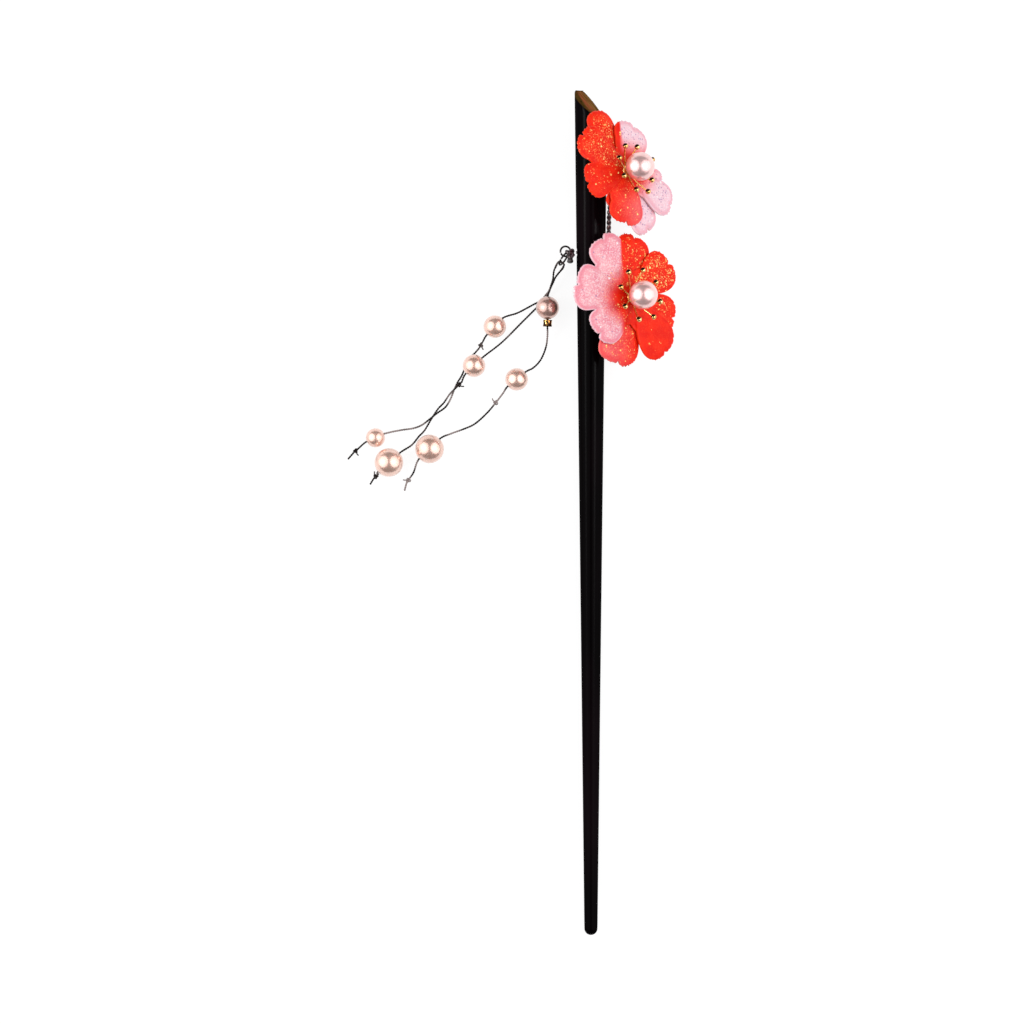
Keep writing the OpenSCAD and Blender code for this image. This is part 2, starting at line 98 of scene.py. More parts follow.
CAD_LOW, CAD_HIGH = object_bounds()
print("the hairpin measures", [round(side / MM, 1) for side in CAD_HIGH - CAD_LOW], "mm")

# %% [markdown]
# The hairpin lies on a white table and the camera hangs straight above it. A very long lens
# from far away keeps high parts, such as the pearls on the blossoms, from sliding outwards in
# the picture. The lens and the width that the picture shows give the camera's height. Blender
# counts a lens and its sensor in millimetres.

# %% Hang the camera
LENS = 400
SENSOR = 36
PICTURE_WIDTH = 212 * MM

camera_data = bpy.data.cameras.new("camera")
camera_data.lens = LENS
camera_data.sensor_width = SENSOR
camera = bpy.data.objects.new("camera", camera_data)
bpy.context.scene.collection.objects.link(camera)
bpy.context.scene.camera = camera
middle = (CAD_LOW + CAD_HIGH) / 2
camera.location = (middle.x, middle.y, PICTURE_WIDTH * LENS / SENSOR)
print("the camera hangs", round(camera.location.z, 3), "m above the table")

# %% [markdown]
# Every finish below is a node tree, and most of it is sums: how far from an edge, how much of
# one colour. The class Wire holds one output of a node and takes part in Python sums, and each
# sum adds its Math node. Any other node comes from its one method, node, which takes the
# node's type, its settings and the values or wires of its sockets.

# %% A wire that takes part in sums
class Wire:
    """One output of a node in a material, ready for + - * ** and for feeding other nodes."""

    def __init__(self, tree, socket):
        self.tree = tree
        self.socket = socket

    def node(self, kind, settings=None, sockets=None, output=0):
        """Adds any node. Its settings are set first, and then its sockets are filled or linked."""
        made = self.tree.nodes.new(kind)
        for name, value in (settings or {}).items():
            setattr(made, name, value)
        for name, value in (sockets or {}).items():
            if isinstance(value, Wire):
                self.tree.links.new(value.socket, made.inputs[name])
            else:
                made.inputs[name].default_value = value
        return Wire(self.tree, made.outputs[output])

    def maths(self, operation, first, second):
        """One Math node, which works on numbers and wires."""
        return self.node("ShaderNodeMath", {"operation": operation}, {0: first, 1: second})

    def __add__(self, other):
        return self.maths("ADD", self, other)

    def __radd__(self, other):
        return self.maths("ADD", other, self)

    def __sub__(self, other):
        return self.maths("SUBTRACT", self, other)

    def __rsub__(self, other):
        return self.maths("SUBTRACT", other, self)

    def __mul__(self, other):
        return self.maths("MULTIPLY", self, other)

    def __rmul__(self, other):
        return self.maths("MULTIPLY", other, self)

    def __pow__(self, other):
        return self.maths("POWER", self, other)

    def at_least(self, low):
        return self.maths("MAXIMUM", self, low)

    def above(self, other):
        """1 where this wire is larger than the other, and 0 elsewhere."""
        return self.maths("GREATER_THAN", self, other)

    def axis(self, letter):
        """One of the three numbers of a place: X, Y or Z."""
        return self.node("ShaderNodeSeparateXYZ", {}, {"Vector": self}, letter)

    def step(self, low, high):
        """0 below low and 1 above high, with a soft step between them."""
        ends = {"Value": self, "From Min": low, "From Max": high}
        return self.node("ShaderNodeMapRange", {"interpolation_type": "SMOOTHSTEP"}, ends)

    def mix(self, first, second):
        """The first colour where this wire is 0, and the second where it is 1."""
        colours = {0: self, 6: first, 7: second}
        return self.node("ShaderNodeMix", {"data_type": "RGBA"}, colours, output=2)

    def noise(self, size, detail=2.0, stretch=(1, 1, 1)):
        """Soft random values with blots of the given size, from this wire's places."""
        scaled = self.node(
            "ShaderNodeVectorMath", {"operation": "MULTIPLY"},
            {0: self, 1: tuple(side / size for side in stretch)},
        )
        sockets = {"Vector": scaled, "Scale": 1.0, "Detail": detail}
        return self.node("ShaderNodeTexNoise", {}, sockets)

    def cells(self, size, output="Distance"):
        """Cells of the given size: the distance to each one's middle, or its own colour."""
        return self.node("ShaderNodeTexVoronoi", {}, {"Vector": self, "Scale": 1 / size}, output)

    def attribute(self, name):
        """A value that the mesh carries on its points."""
        return self.node("ShaderNodeAttribute", {"attribute_name": name}, {}, "Fac")

    def bump(self, depth, normal=None):
        """A surface normal tilted by this wire, read as a height of the given depth."""
        sockets = {"Height": self, "Distance": depth}
        if normal:
            sockets["Normal"] = normal
        return self.node("ShaderNodeBump", {}, sockets)


# %% [markdown]
# Each finish is one Principled shader. What is the same all over goes straight on the
# shader's own sockets, and what changes over the surface is linked to them afterwards. The
# places that patterns grow from are the object's own coordinates, which here are metres.

# %% Start a finish
def new_finish(name, same_all_over):
    """A material with its shader, and the wire of places that its patterns start from."""
    finish = bpy.data.materials.new(name)
    finish.use_nodes = True
    shader = finish.node_tree.nodes["Principled BSDF"]
    for socket, value in same_all_over.items():
        shader.inputs[socket].default_value = value
    start = Wire(finish.node_tree, None)
    place = start.node("ShaderNodeTexCoord", {}, {}, "Object")
    return finish, place


def wear(finish, **wires):
    """Links wires to the shader's sockets, such as base_color=wire for Base Color."""
    shader = finish.node_tree.nodes["Principled BSDF"]
    for name, wire in wires.items():
        socket = shader.inputs[name.replace("_", " ").title()]
        finish.node_tree.links.new(wire.socket, socket)
    print(finish.name, "is mixed from", len(finish.node_tree.nodes), "nodes")
    return finish


# %% [markdown]
# The table is one wide plane of matt white that glows by itself, like the light tables that
# product photographers use, so that almost no shadow is left on it. Its white is a little
# uneven, like card, and it lies a hair below the ornament, so that the two never touch.

# %% Lay the table
TABLE_SIDE = 3.0
TABLE_DROP = 0.05 * MM
TABLE_GLOW = 0.90
CARD_DARK = (0.11, 0.11, 0.11, 1)
CARD_LIGHT = (0.13, 0.13, 0.13, 1)

card, place = new_finish("white_card", {
    "Roughness": 0.9, "Specular IOR Level": 0.1,
    "Emission Color": (1.0, 1.0, 1.0, 1), "Emission Strength": TABLE_GLOW,
})
cloudy = place.noise(60 * MM)
wear(card, base_color=cloudy.mix(CARD_DARK, CARD_LIGHT))

bpy.ops.mesh.primitive_plane_add(size=TABLE_SIDE, location=(middle.x, middle.y, -TABLE_DROP))
table = bpy.context.object
table.name = "table"
table.data.materials.append(card)
table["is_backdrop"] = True

# %% [markdown]
# The light is a small studio: two large round soft boxes hang close together, left and right
# of the camera, and leave a dark gap for it. Polished pearls are mirrors, so the boxes' places
# are chosen by where their reflections should fall: each pearl gets one round white spot on
# each half, and a darker band above and below them. A soft box is brightest in its middle,
# where its lamp is, and those cores show as two faint streaks on the black pin. A weak and
# slightly blue world lights what neither of them reaches.

# %% Hang the lights
SOFT_BOXES = {
    "left_box": (172, 50, 0.9, 1.6, 11),
    "right_box": (8, 50, 0.9, 1.6, 11),
    "left_core": (172, 50, 0.88, 0.22, 2),
    "right_core": (8, 38, 0.88, 0.22, 2),
}
WORLD_COLOUR = (0.95, 0.96, 1.0, 1)
WORLD_STRENGTH = 0.09


def soft_box(name, towards, tilt, distance, size, watts):
    """A round light that looks at the ornament's middle from above.

    towards is its direction on the table, counted from X, and tilt its angle from straight
    above, both in degrees. Its distance and size are metres."""
    light = bpy.data.lights.new(name, "AREA")
    light.shape = "DISK"
    light.size = size
    light.energy = watts
    lamp = bpy.data.objects.new(name, light)
    bpy.context.scene.collection.objects.link(lamp)
    turn = math.radians(towards)
    lean = math.radians(tilt)
    across = math.sin(lean)
    way = Vector((math.cos(turn) * across, math.sin(turn) * across, math.cos(lean)))
    lamp.location = middle + way * distance
    lamp.rotation_euler = way.to_track_quat("Z", "Y").to_euler()
    print(name, "hangs", round(lamp.location.z, 2), "m above the table")


for name, facts in SOFT_BOXES.items():
    soft_box(name, *facts)

world = bpy.data.worlds.new("studio")
bpy.context.scene.world = world
world.use_nodes = True
background = world.node_tree.nodes["Background"]
background.inputs["Color"].default_value = WORLD_COLOUR
background.inputs["Strength"].default_value = WORLD_STRENGTH
bpy.context.scene.view_settings.view_transform = "Standard"

# %% [markdown]
# Most of the thin parts are something bent along a line: threads, cords, wires, filaments.
# A line goes through a few chosen points and is smoothed between them. A frame of two sides
# is carried along it from point to point, so that a tube round it never twists by itself.

# %% Bend a tube along a line
def smooth_line(points, step):
    """A smooth line through the points, cut into pieces no longer than step."""
    points = [Vector(point) for point in points]
    last = len(points) - 1
    line = []
    for i in range(last):
        a, b, c, d = points[max(i - 1, 0)], points[i], points[i + 1], points[min(i + 2, last)]
        count = max(1, math.ceil((c - b).length / step))
        for j in range(count):
            t = j / count
            bend = (2 * a - 5 * b + 4 * c - d) * t * t + (3 * b - a - 3 * c + d) * t ** 3
            line.append(0.5 * (2 * b + (c - a) * t + bend))
    return line + [points[last]]


def carried_frame(line):
    """For each point of the line: its way, and two sides square to it."""
    frames = []
    side = Vector((0.1, 0.2, 1))
    for i in range(len(line)):
        way = (line[min(i + 1, len(line) - 1)] - line[max(i - 1, 0)]).normalized()
        side = (side - side.dot(way) * way).normalized()
        frames.append((way, side, way.cross(side)))
    return frames


def tube(line, radii, sides):
    """Points and faces of a closed tube whose radius may change along the line."""
    frames = carried_frame(line)
    points = []
    for centre, (way, side, other), radius in zip(line, frames, radii):
        for k in range(sides):
            angle = 2 * math.pi * k / sides
            points.append(centre + radius * (side * math.cos(angle) + other * math.sin(angle)))
    faces = [tuple(range(sides))[::-1], tuple(range(len(points) - sides, len(points)))]
    for i in range(len(line) - 1):
        for k in range(sides):
            a, b = i * sides + k, i * sides + (k + 1) % sides
            faces.append((a, b, b + sides, a + sides))
    return points, faces


def twisted_plies(line, ply_r, wind_r, turn_length, count, sides):
    """Several thin tubes wound round the line like the plies of a cord."""
    frames = carried_frame(line)
    gone = 0
    phases = []
    for i in range(len(line)):
        gone += (line[i] - line[i - 1]).length if i else 0
        phases.append(2 * math.pi * gone / turn_length)
    parts = []
    for ply in range(count):
        wound = []
        for centre, (way, side, other), phase in zip(line, frames, phases):
            angle = phase + 2 * math.pi * ply / count
            wound.append(centre + wind_r * (side * math.cos(angle) + other * math.sin(angle)))
        parts.append(tube(wound, [ply_r] * len(wound), sides))
    return parts


def lathe(profile, frame, sides, ring=False):
    """A profile of radii and heights turned round the frame's Z axis; a ring has no ends."""
    points, rows = [], []
    for radius, height in profile:
        if radius == 0:
            rows.append([len(points)] * sides)
            points.append(frame @ Vector((0, 0, height)))
            continue
        rows.append(list(range(len(points), len(points) + sides)))
        for k in range(sides):
            angle = 2 * math.pi * k / sides
            out = (radius * math.cos(angle), radius * math.sin(angle), height)
            points.append(frame @ Vector(out))
    faces = []
    for low, high in zip(rows, rows[1:] + (rows[:1] if ring else [])):
        for k in range(sides):
            after = (k + 1) % sides
            corners = dict.fromkeys((low[k], low[after], high[after], high[k]))
            if len(corners) > 2:
                faces.append(tuple(corners))
    return points, faces


def seat_at(point, way):
    """A frame whose middle is at the point and whose Z axis looks along the way."""
    return Matrix.Translation(point) @ way.to_track_quat("Z", "Y").to_matrix().to_4x4()


quarter = smooth_line([(1, 0, 0), (0.7, 0.7, 0), (0, 1, 0)], 0.1)
print("three points become a smooth line of", len(quarter))

# %% [markdown]
# Every part becomes a piece in the same way: its points and faces go into a mesh, its faces
# turn outwards, it gets its finish, it rides with the frame and the solids of the CAD model
# that it stands for are hidden. Values such as how red a petal is are kept on the mesh's points.

# %% Turn points and faces into a piece
def gather(parts):
    """Several lists of points and faces as one."""
    points, faces = [], []
    for part_points, part_faces in parts:
        start = len(points)
        points += list(part_points)
        faces += [tuple(corner + start for corner in face) for face in part_faces]
    return points, faces


def make_piece(name, shape, finish, stands_for, marks=None):
    """A smooth mesh piece. marks are named values, one for each point."""
    points, faces = shape
    mesh = bpy.data.meshes.new(name)
    mesh.from_pydata([tuple(point) for point in points], [], faces)
    for mark, values in (marks or {}).items():
        layer = mesh.attributes.new(mark, "FLOAT", "POINT")
        layer.data.foreach_set("value", list(values))
    shell = bmesh.new()
    shell.from_mesh(mesh)
    bmesh.ops.recalc_face_normals(shell, faces=shell.faces)
    shell.to_mesh(mesh)
    shell.free()
    mesh.polygons.foreach_set("use_smooth", [True] * len(mesh.polygons))
    mesh.materials.append(finish)
    return place_piece(name, mesh, stands_for)


def place_piece(name, mesh, stands_for):
    """Puts a finished mesh into the scene, in place of the solids that it stands for."""
    piece = bpy.data.objects.new(name, mesh)
    bpy.context.scene.collection.objects.link(piece)
    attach(piece, "root")
    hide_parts(*stands_for)
    print(name, "has", len(mesh.polygons), "faces")
    return piece


# %% [markdown]
# The pin is a tapered round stick with a rounded point. It is turned as rings of points, as
# a lathe would do it. Its head is cut off at a slant and the sharp corner is taken off square,
# so two planes cut the mesh. The raw edges are rounded a little, because a hand-made edge
# catches light, and this wears the corner off a little too. The hole for the cord is bored
# with a cylinder, which is thrown away afterwards.

# %% Turn the pin and cut its head
PIN_LENGTH = 175 * MM
HEAD_D = 6.8 * MM
TIP_D = 2.7 * MM
CUT_ANGLE = math.radians(52)
CUT_TURN = math.radians(23)
BLUNT = 0.8 * MM
CUT_EDGE = 0.48 * MM
WORN_OFF = 0.3 * MM
PIN_SIDES = 96
RING_STEP = 2.5 * MM

pin_lean = math.asin((HEAD_D - TIP_D) / 2 / PIN_LENGTH)
pin_frame = Matrix.Translation((0, 0, TIP_D / 2)) @ Matrix.Rotation(pin_lean - math.pi / 2, 4, "X")
slant = Matrix.Rotation(-CUT_TURN, 3, "Y") @ Matrix.Rotation(-CUT_ANGLE, 3, "Z")
cut_way = slant @ Vector((0, 1, 0))


def pin_r(y):
    """The pin's radius at a place along it."""
    return TIP_D / 2 + (HEAD_D - TIP_D) / 2 * y / PIN_LENGTH


cut_y = PIN_LENGTH + BLUNT - HEAD_D / 2 * math.tan(CUT_ANGLE)
cut_place = Vector((0, cut_y, pin_r(cut_y)))


def turned_blank():
    """Points and faces of the pin before its head is cut."""
    profile = [(0, 0)]
    for a in range(-84, 1, 7):
        turn = math.radians(a)
        profile.append((TIP_D / 2 * math.cos(turn), TIP_D / 2 * (1 + math.sin(turn))))
    rings = math.ceil((PIN_LENGTH + HEAD_D) / RING_STEP)
    profile += [(pin_r(i * RING_STEP), i * RING_STEP) for i in range(1, rings)]
    return lathe(profile + [(0, profile[-1][1])], pin_frame, PIN_SIDES)


def cut_pin():
    """The blank with its slanted cut and its blunt corner, whose edges are rounded."""
    points, faces = turned_blank()
    shell = bmesh.new()
    corners = [shell.verts.new(point) for point in points]
    for face in faces:
        shell.faces.new([corners[corner] for corner in face])
    square_end = pin_frame @ Vector((0, 0, PIN_LENGTH - WORN_OFF))
    along_pin = pin_frame.to_3x3() @ Vector((0, 0, 1))
    for place, way in ((cut_place, cut_way), (square_end, along_pin)):
        whole = shell.verts[:] + shell.edges[:] + shell.faces[:]
        cut = bmesh.ops.bisect_plane(
            shell, geom=whole, plane_co=place, plane_no=way, clear_outer=True)
        border = [part for part in cut["geom_cut"] if isinstance(part, bmesh.types.BMEdge)]
        bmesh.ops.holes_fill(shell, edges=border)
    raw_edges = [edge for edge in shell.edges
                 if len(edge.link_faces) == 2 and edge.calc_face_angle() > math.radians(20)]
    bmesh.ops.bevel(shell, geom=raw_edges, offset=CUT_EDGE, segments=4, profile=0.5, affect="EDGES")
    bmesh.ops.recalc_face_normals(shell, faces=shell.faces)
    mesh = bpy.data.meshes.new("pin")
    shell.to_mesh(mesh)
    shell.free()
    return mesh


def bore(mesh, start, end, width):
    """Takes a cylinder out of the mesh, from start to end."""
    points, faces = tube([start, (start + end) / 2, end], [width / 2] * 3, 32)
    cutter_mesh = bpy.data.meshes.new("cutter")
    cutter_mesh.from_pydata([tuple(point) for point in points], [], faces)
    blank = bpy.data.objects.new("blank", mesh)
    cutter = bpy.data.objects.new("cutter", cutter_mesh)
    for part in (blank, cutter):
        bpy.context.scene.collection.objects.link(part)
    step = blank.modifiers.new("bore", "BOOLEAN")
    step.object = cutter
    step.solver = "EXACT"
    seen = blank.evaluated_get(bpy.context.evaluated_depsgraph_get())
    bored = bpy.data.meshes.new_from_object(seen)
    for spent in (cutter, blank):
        bpy.data.objects.remove(spent)
    return bored


# %% [markdown]
# Lacquer is many thin black coats, rubbed to a quiet shine, so the finish is almost black
# under a weak clear coat, with a slow waviness that bends reflections, some fine rubbing
# marks along the pin and a few specks of dust. The slanted cut is bare wood. One finish does
# both: the distance from the plane of the cut says where lacquer ends, and a little noise
# frays that border. Towards the corner of the head the lacquer is sanded off further and
# further. The wood's dark and reddish fibres run along the cut, and it is darker towards its rim.

# %% Mix the lacquer and the bare wood
LACQUER = (0.000828, 0.000414, 0.000621, 1)
LACQUER_WARM = (0.0031, 0.00124, 0.00207, 1)
WOOD_LIGHT = (0.186, 0.0897, 0.0248, 1)
WOOD_DARK = (0.069, 0.031, 0.00414, 1)
WOOD_RED = (0.235, 0.0587, 0.0248, 1)
WOOD_RIM = (0.031, 0.0179, 0.00276, 1)
SANDED_FROM = 170.2 * MM
SANDED_SLOPE = 0.30
BORDER_FRAY = 0.10 * MM


def lacquered_wood():
    same = {"Coat Roughness": 0.20, "Specular IOR Level": 0.0}
    finish, place = new_finish("lacquered_wood", same)
    along_cut = place.node("ShaderNodeVectorMath", {"operation": "DOT_PRODUCT"},
                           {0: place, 1: tuple(cut_way)}, "Value")
    fray = place.noise(0.35 * MM) - 0.5
    depth = along_cut - cut_way.dot(cut_place) + fray * BORDER_FRAY
    sanded = ((place.axis("Y") - SANDED_FROM) * SANDED_SLOPE).at_least(0.0)
    bare = (depth + sanded).step(-0.16 * MM, -0.10 * MM)
    along = place.node("ShaderNodeVectorRotate", {"rotation_type": "Z_AXIS"},
                       {"Vector": place, "Angle": CUT_ANGLE})
    grain = along.noise(0.34 * MM, detail=5, stretch=(0.10, 1.0, 1.0))
    streak = along.noise(0.8 * MM, stretch=(0.12, 1.2, 1.2))
    wood = grain.step(0.38, 0.62).mix(WOOD_DARK, WOOD_LIGHT)
    wood = (streak.step(0.50, 0.60) * 0.8).mix(wood, WOOD_RED)
    beside, high = place.axis("X"), place.axis("Z") - HEAD_D / 2
    from_axis = (beside * beside + high * high) ** 0.5
    rim_darkening = (from_axis + fray * (0.6 * MM)).step(0.32 * HEAD_D, 0.48 * HEAD_D)
    wood = (rim_darkening * 0.85).mix(wood, WOOD_RIM)
    cloud = place.noise(9 * MM, stretch=(1, 0.3, 1))
    lacquer = cloud.step(0.4, 0.7).mix(LACQUER, LACQUER_WARM)
    rubbed = place.noise(0.22 * MM, detail=3, stretch=(1, 0.02, 1))
    speck = 1 - place.cells(1.7 * MM).step(0.02, 0.06)
    gloss = 0.30 + rubbed * 0.10 + speck * 0.15
    wavy = place.noise(4.5 * MM, detail=1, stretch=(1, 0.25, 1)).bump(0.030 * MM)
    marked = (rubbed * (1 - bare) * 0.10 + speck * 0.3 + grain * bare * 2).bump(0.010 * MM, wavy)
    return wear(
        finish, base_color=bare.mix(lacquer, wood), roughness=gloss + bare * 0.42,
        coat_weight=0.035 - bare * 0.02, normal=marked,
    )


# %% Make the pin
HOLE_FROM_HEAD = 33.8 * MM
hole_y = PIN_LENGTH - HOLE_FROM_HEAD
hole_z = pin_r(hole_y)
CROSS_HOLE_D = 1.9 * MM

hole_ends = [Vector((x, hole_y, hole_z)) for x in (-HEAD_D, HEAD_D)]
pin_mesh = bore(cut_pin(), *hole_ends, CROSS_HOLE_D)
pin_mesh.polygons.foreach_set("use_smooth", [True] * len(pin_mesh.polygons))
pin_mesh.materials.clear()
pin_mesh.materials.append(lacquered_wood())
pin = place_piece("stick_lacquered", pin_mesh, ["stick"])
pin_edges = pin.modifiers.new("crisp_edges", "EDGE_SPLIT")
pin_edges.split_angle = math.radians(40)

# %% [markdown]
# Each blossom is two layers of resin with five petals each, cast in one shallow dome. The
# layers are the ones of the CAD model: a petal has its angle, its length as a share of the
# blossom's radius, and half its spread in degrees. Here every petal also gets its share of
# pink, of gold glitter and of fine grain, and its kind of tip: 0 is round, and others have a
# notch with one lobe shorter than the other, on the side that the sign says. A grid of spokes
# and rings is bent into the dome, thick in the middle and thin at the rim, which is how soft
# cast resin pulls back from its edge.

# %% Measure the blossoms
BLOSSOM_R = 14 * MM
PETAL_T = 0.9 * MM
RIM_T = 0.4 * MM
RIM_DROP = 1.2 * MM
NOTCH_DEPTH = 1.1 * MM
LAYER_GAP = 0.15 * MM
PEARL_H = 4.2 * MM
VALLEY_SHARE = 0.42
NEAR_VALLEY_SHARE = 0.74
WIDE_GAP = 12

ANGLE, LENGTH, SPREAD, PINK, GLITTER, GRAIN, TIP = range(7)
UPPER_FRONT = [
    [51, 0.83, 33, 1, 0.1, 0.1, -1], [126, 0.92, 25, 0, 0.55, 1.0, -0.6],
    [180, 0.78, 28, 0, 0.15, 0.3, -0.5], [251, 0.81, 31, 0.2, 0.12, 0.7, -1],
    [318, 1.03, 22, 2, 0.3, 0, 0.3],
]
UPPER_BACK = [
    [94, 1.00, 21, 0, 0.75, 1.0, 0], [163, 0.66, 16, 0, 0.1, 0.2, 0.5],
    [226, 0.60, 16, 0, 0.1, 0.2, 0.5], [283, 0.99, 22, 2, 0.2, 0, 0.5],
    [340, 0.86, 17, 2, 0.2, 0, 0.5],
]
LOWER_FRONT = [
    [26, 0.99, 28, 0, 1, 0.6, 0.5], [105, 1.02, 25, 1, 0.5, 0.3, 1], [159, 0.96, 29, 1, 0.2, 0, -1],
    [216, 0.83, 31, 1, 0.4, 0.2, -1], [300, 1.05, 28, 0, 0.03, 0.2, 0.3],
]
LOWER_BACK = [
    [67, 1.00, 25, 0, 0.5, 0.4, -1], [132, 0.60, 16, 1, 0.1, 0, 0.3],
    [192, 0.60, 16, 1, 0.1, 0, 0.3], [251, 1.02, 28, 0.25, 0.4, 0.7, -1],
    [333, 0.94, 27, 0, 0.5, 0.5, 0.5],
]


def blossom_frame(pearl, lean, heading):
    """Where a blossom sits: its middle is under its pearl, and it leans away from the pin."""
    low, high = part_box(pearl)
    turn = Matrix.Rotation(math.radians(heading), 4, "Z")
    turn @= Matrix.Rotation(math.radians(lean), 4, "Y")
    return Matrix.Translation((low + high) / 2) @ turn @ Matrix.Translation((0, 0, -PEARL_H))


upper_frame = blossom_frame("upper_pearl", lean=42, heading=18)
lower_frame = blossom_frame("lower_pearl", lean=34, heading=10)
print("upper blossom at", [round(side / MM, 1) for side in upper_frame.translation], "mm")

# %% Draw a layer's outline
PETAL_SPOKES = 72
VALLEY_SPOKES = 4
TEETH = 6
TOOTH_DEPTH = 0.33 * MM
NOTCH_HALF = 0.10
LOBE_STEP = 0.55 * MM
NEARLY_SIDE = 0.995
TOUCHING = 0.97


def valley_of(gap, spread):
    """The share of a petal's length where it meets its neighbour: deeper across a wide gap."""
    nearness = max(0, 1 - max(0, gap - spread) / WIDE_GAP)
    return VALLEY_SHARE + (NEAR_VALLEY_SHARE - VALLEY_SHARE) * nearness


def petal_reach(length, place_across, valley, teeth_turn, tip):
    """How far a petal reaches at a place across it, from -1 at one side to 1 at the other.

    Small uneven teeth run along its tip. They fade out in its middle and towards its sides."""
    across = abs(place_across)
    fill = math.sqrt(max(0, 1 - across ** 3))
    reach = length * (valley + (1 - valley) * fill)
    notch = NOTCH_DEPTH * max(0, 1 - across / NOTCH_HALF) * min(1, 2 * abs(tip))
    lobe = LOBE_STEP * abs(tip) * max(0, 1 - across / 0.8) if place_across * tip > 0 else 0
    saw = (across * TEETH + teeth_turn + 0.25 * math.sin(37 * place_across)) % 1
    teeth = TOOTH_DEPTH * saw ** 1.3 * min(1, max(0, (0.85 - across) / 0.3)) * min(1, across / 0.12)
    return reach - (max(notch, lobe) + teeth) * fill


def spokes_of(petals, seed):
    """Spokes round a layer: angle, reach, place across the petal, and the petal it is on."""
    chance = random.Random(seed)
    spokes = []
    for k, petal in enumerate(petals):
        after = petals[(k + 1) % len(petals)]
        gap_after = ((after[ANGLE] - petal[ANGLE]) % 360) / 2
        gap_before = ((petal[ANGLE] - petals[k - 1][ANGLE]) % 360) / 2
        length = petal[LENGTH] * BLOSSOM_R
        teeth_turn = chance.random()
        for i in range(PETAL_SPOKES + 1):
            across = math.sin(math.pi * (i / PETAL_SPOKES - 0.5)) * NEARLY_SIDE
            gap = gap_before if across < 0 else gap_after
            valley = valley_of(gap, petal[SPREAD])
            reach = petal_reach(length, across, valley, teeth_turn, petal[TIP])
            half = min(petal[SPREAD], TOUCHING * gap)
            spokes.append((petal[ANGLE] + across * half, reach, across, k))
        far_valley = valley_of(gap_after, after[SPREAD])
        valley = far_valley * BLOSSOM_R * (petal[LENGTH] + after[LENGTH]) / 2
        edge_angle, edge_reach = spokes[-1][:2]
        far_half = min(after[SPREAD], TOUCHING * gap_after) * NEARLY_SIDE
        far_angle = petal[ANGLE] + 2 * gap_after - far_half
        far_reach = petal_reach(after[LENGTH] * BLOSSOM_R, -NEARLY_SIDE, far_valley, 0, 0)
        for i in range(1, VALLEY_SPOKES):
            share = i / VALLEY_SPOKES
            near = share < 0.5
            dip = 1 - abs(2 * share - 1)
            side_reach = edge_reach if near else far_reach
            angle = edge_angle + (far_angle - edge_angle) * share
            reach = side_reach + (valley - side_reach) * dip
            own = k if near else (k + 1) % len(petals)
            spokes.append((angle, reach, 1 if near else -1, own))
    return spokes


print("the upper front layer has", len(spokes_of(UPPER_FRONT, 3)), "spokes")

# %% Cast a layer of petals
TOP_SHARES = [0.0, 0.06, 0.12, 0.19, 0.26, 0.33, 0.40, 0.47, 0.54, 0.60, 0.66, 0.72, 0.77,
              0.82, 0.86, 0.90, 0.93, 0.955, 0.975]
EDGE_INSET = 0.10 * MM
BORDER = 1.1 * MM
BORDER_DIP = 0.06 * MM
VEIN_DIP = 0.015 * MM


def edge_distance(flat, outline):
    """How far each flat point is from the outline, worked out in blocks to spare memory."""
    start = outline
    run = np.roll(outline, -1, axis=0) - start
    run_squared = (run ** 2).sum(1) + 1e-18
    nearest = np.full(len(flat), 1.0)
    for first in range(0, len(flat), 1000):
        block = flat[first:first + 1000, None, :]
        share = np.clip(((block - start) * run).sum(2) / run_squared, 0, 1)
        gap = block - (start + share[..., None] * run)
        nearest[first:first + 1000] = np.sqrt((gap ** 2).sum(2).min(1))
    return nearest


def layer_shape(petals, underside, seed):
    """Points and faces of one layer in its blossom's own frame, with facts on each point."""
    spokes = spokes_of(petals, seed)
    outline = np.array([(r * math.cos(math.radians(a)), r * math.sin(math.radians(a)))
                        for a, r, across, k in spokes])
    rows = [(share, 1.0) for share in TOP_SHARES] + [(1.0, 0.9), (1.0, 0.5), (1.0, 0.1)]
    rows += [(share, 0.0) for share in TOP_SHARES[::-3]] + [(0.0, 0.0)]
    facts = []
    for share, height in rows:
        for angle, reach, across, k in spokes:
            on_rim = share == 1.0
            inset = EDGE_INSET * abs(2 * height - 1) if on_rim else 0
            r = reach * share - inset
            turn = math.radians(angle)
            facts.append((r * math.cos(turn), r * math.sin(turn), r, share, height, across, k))
    facts = np.array(facts)
    flat = facts[:, :2]
    r, share, height, across, own = facts[:, 2:].T
    edge = edge_distance(flat, outline)
    swell = np.sqrt(np.clip(1 - share ** 4, 0, 1)) * (1 - 0.75 * share * across ** 2)
    thick = RIM_T + (PETAL_T - RIM_T) * swell
    border = np.clip(1 - edge / BORDER, 0, 1)
    relief = BORDER_DIP * np.sin(math.pi * border) * np.clip(share * 3 - 1, 0, 1)
    veins = VEIN_DIP * (0.5 + 0.5 * np.cos(across * 15)) * np.clip(1 - np.abs(share * 2 - 1), 0, 1)
    top = thick - relief - veins
    z = underside - RIM_DROP * (r / BLOSSOM_R) ** 2 + top * height
    points = np.column_stack([flat, z])
    count = len(spokes)
    faces = []
    for row in range(len(rows) - 1):
        for s in range(count):
            a, b = row * count + s, row * count + (s + 1) % count
            corners = (a, b, b + count, a + count)
            if rows[row][0] == 0.0:
                corners = (a, b + count, a + count)
            if rows[row + 1][0] == 0.0:
                corners = (a, b, a + count)
            faces.append(corners)
    return points, faces, {"edge": edge / MM, "petal": own}


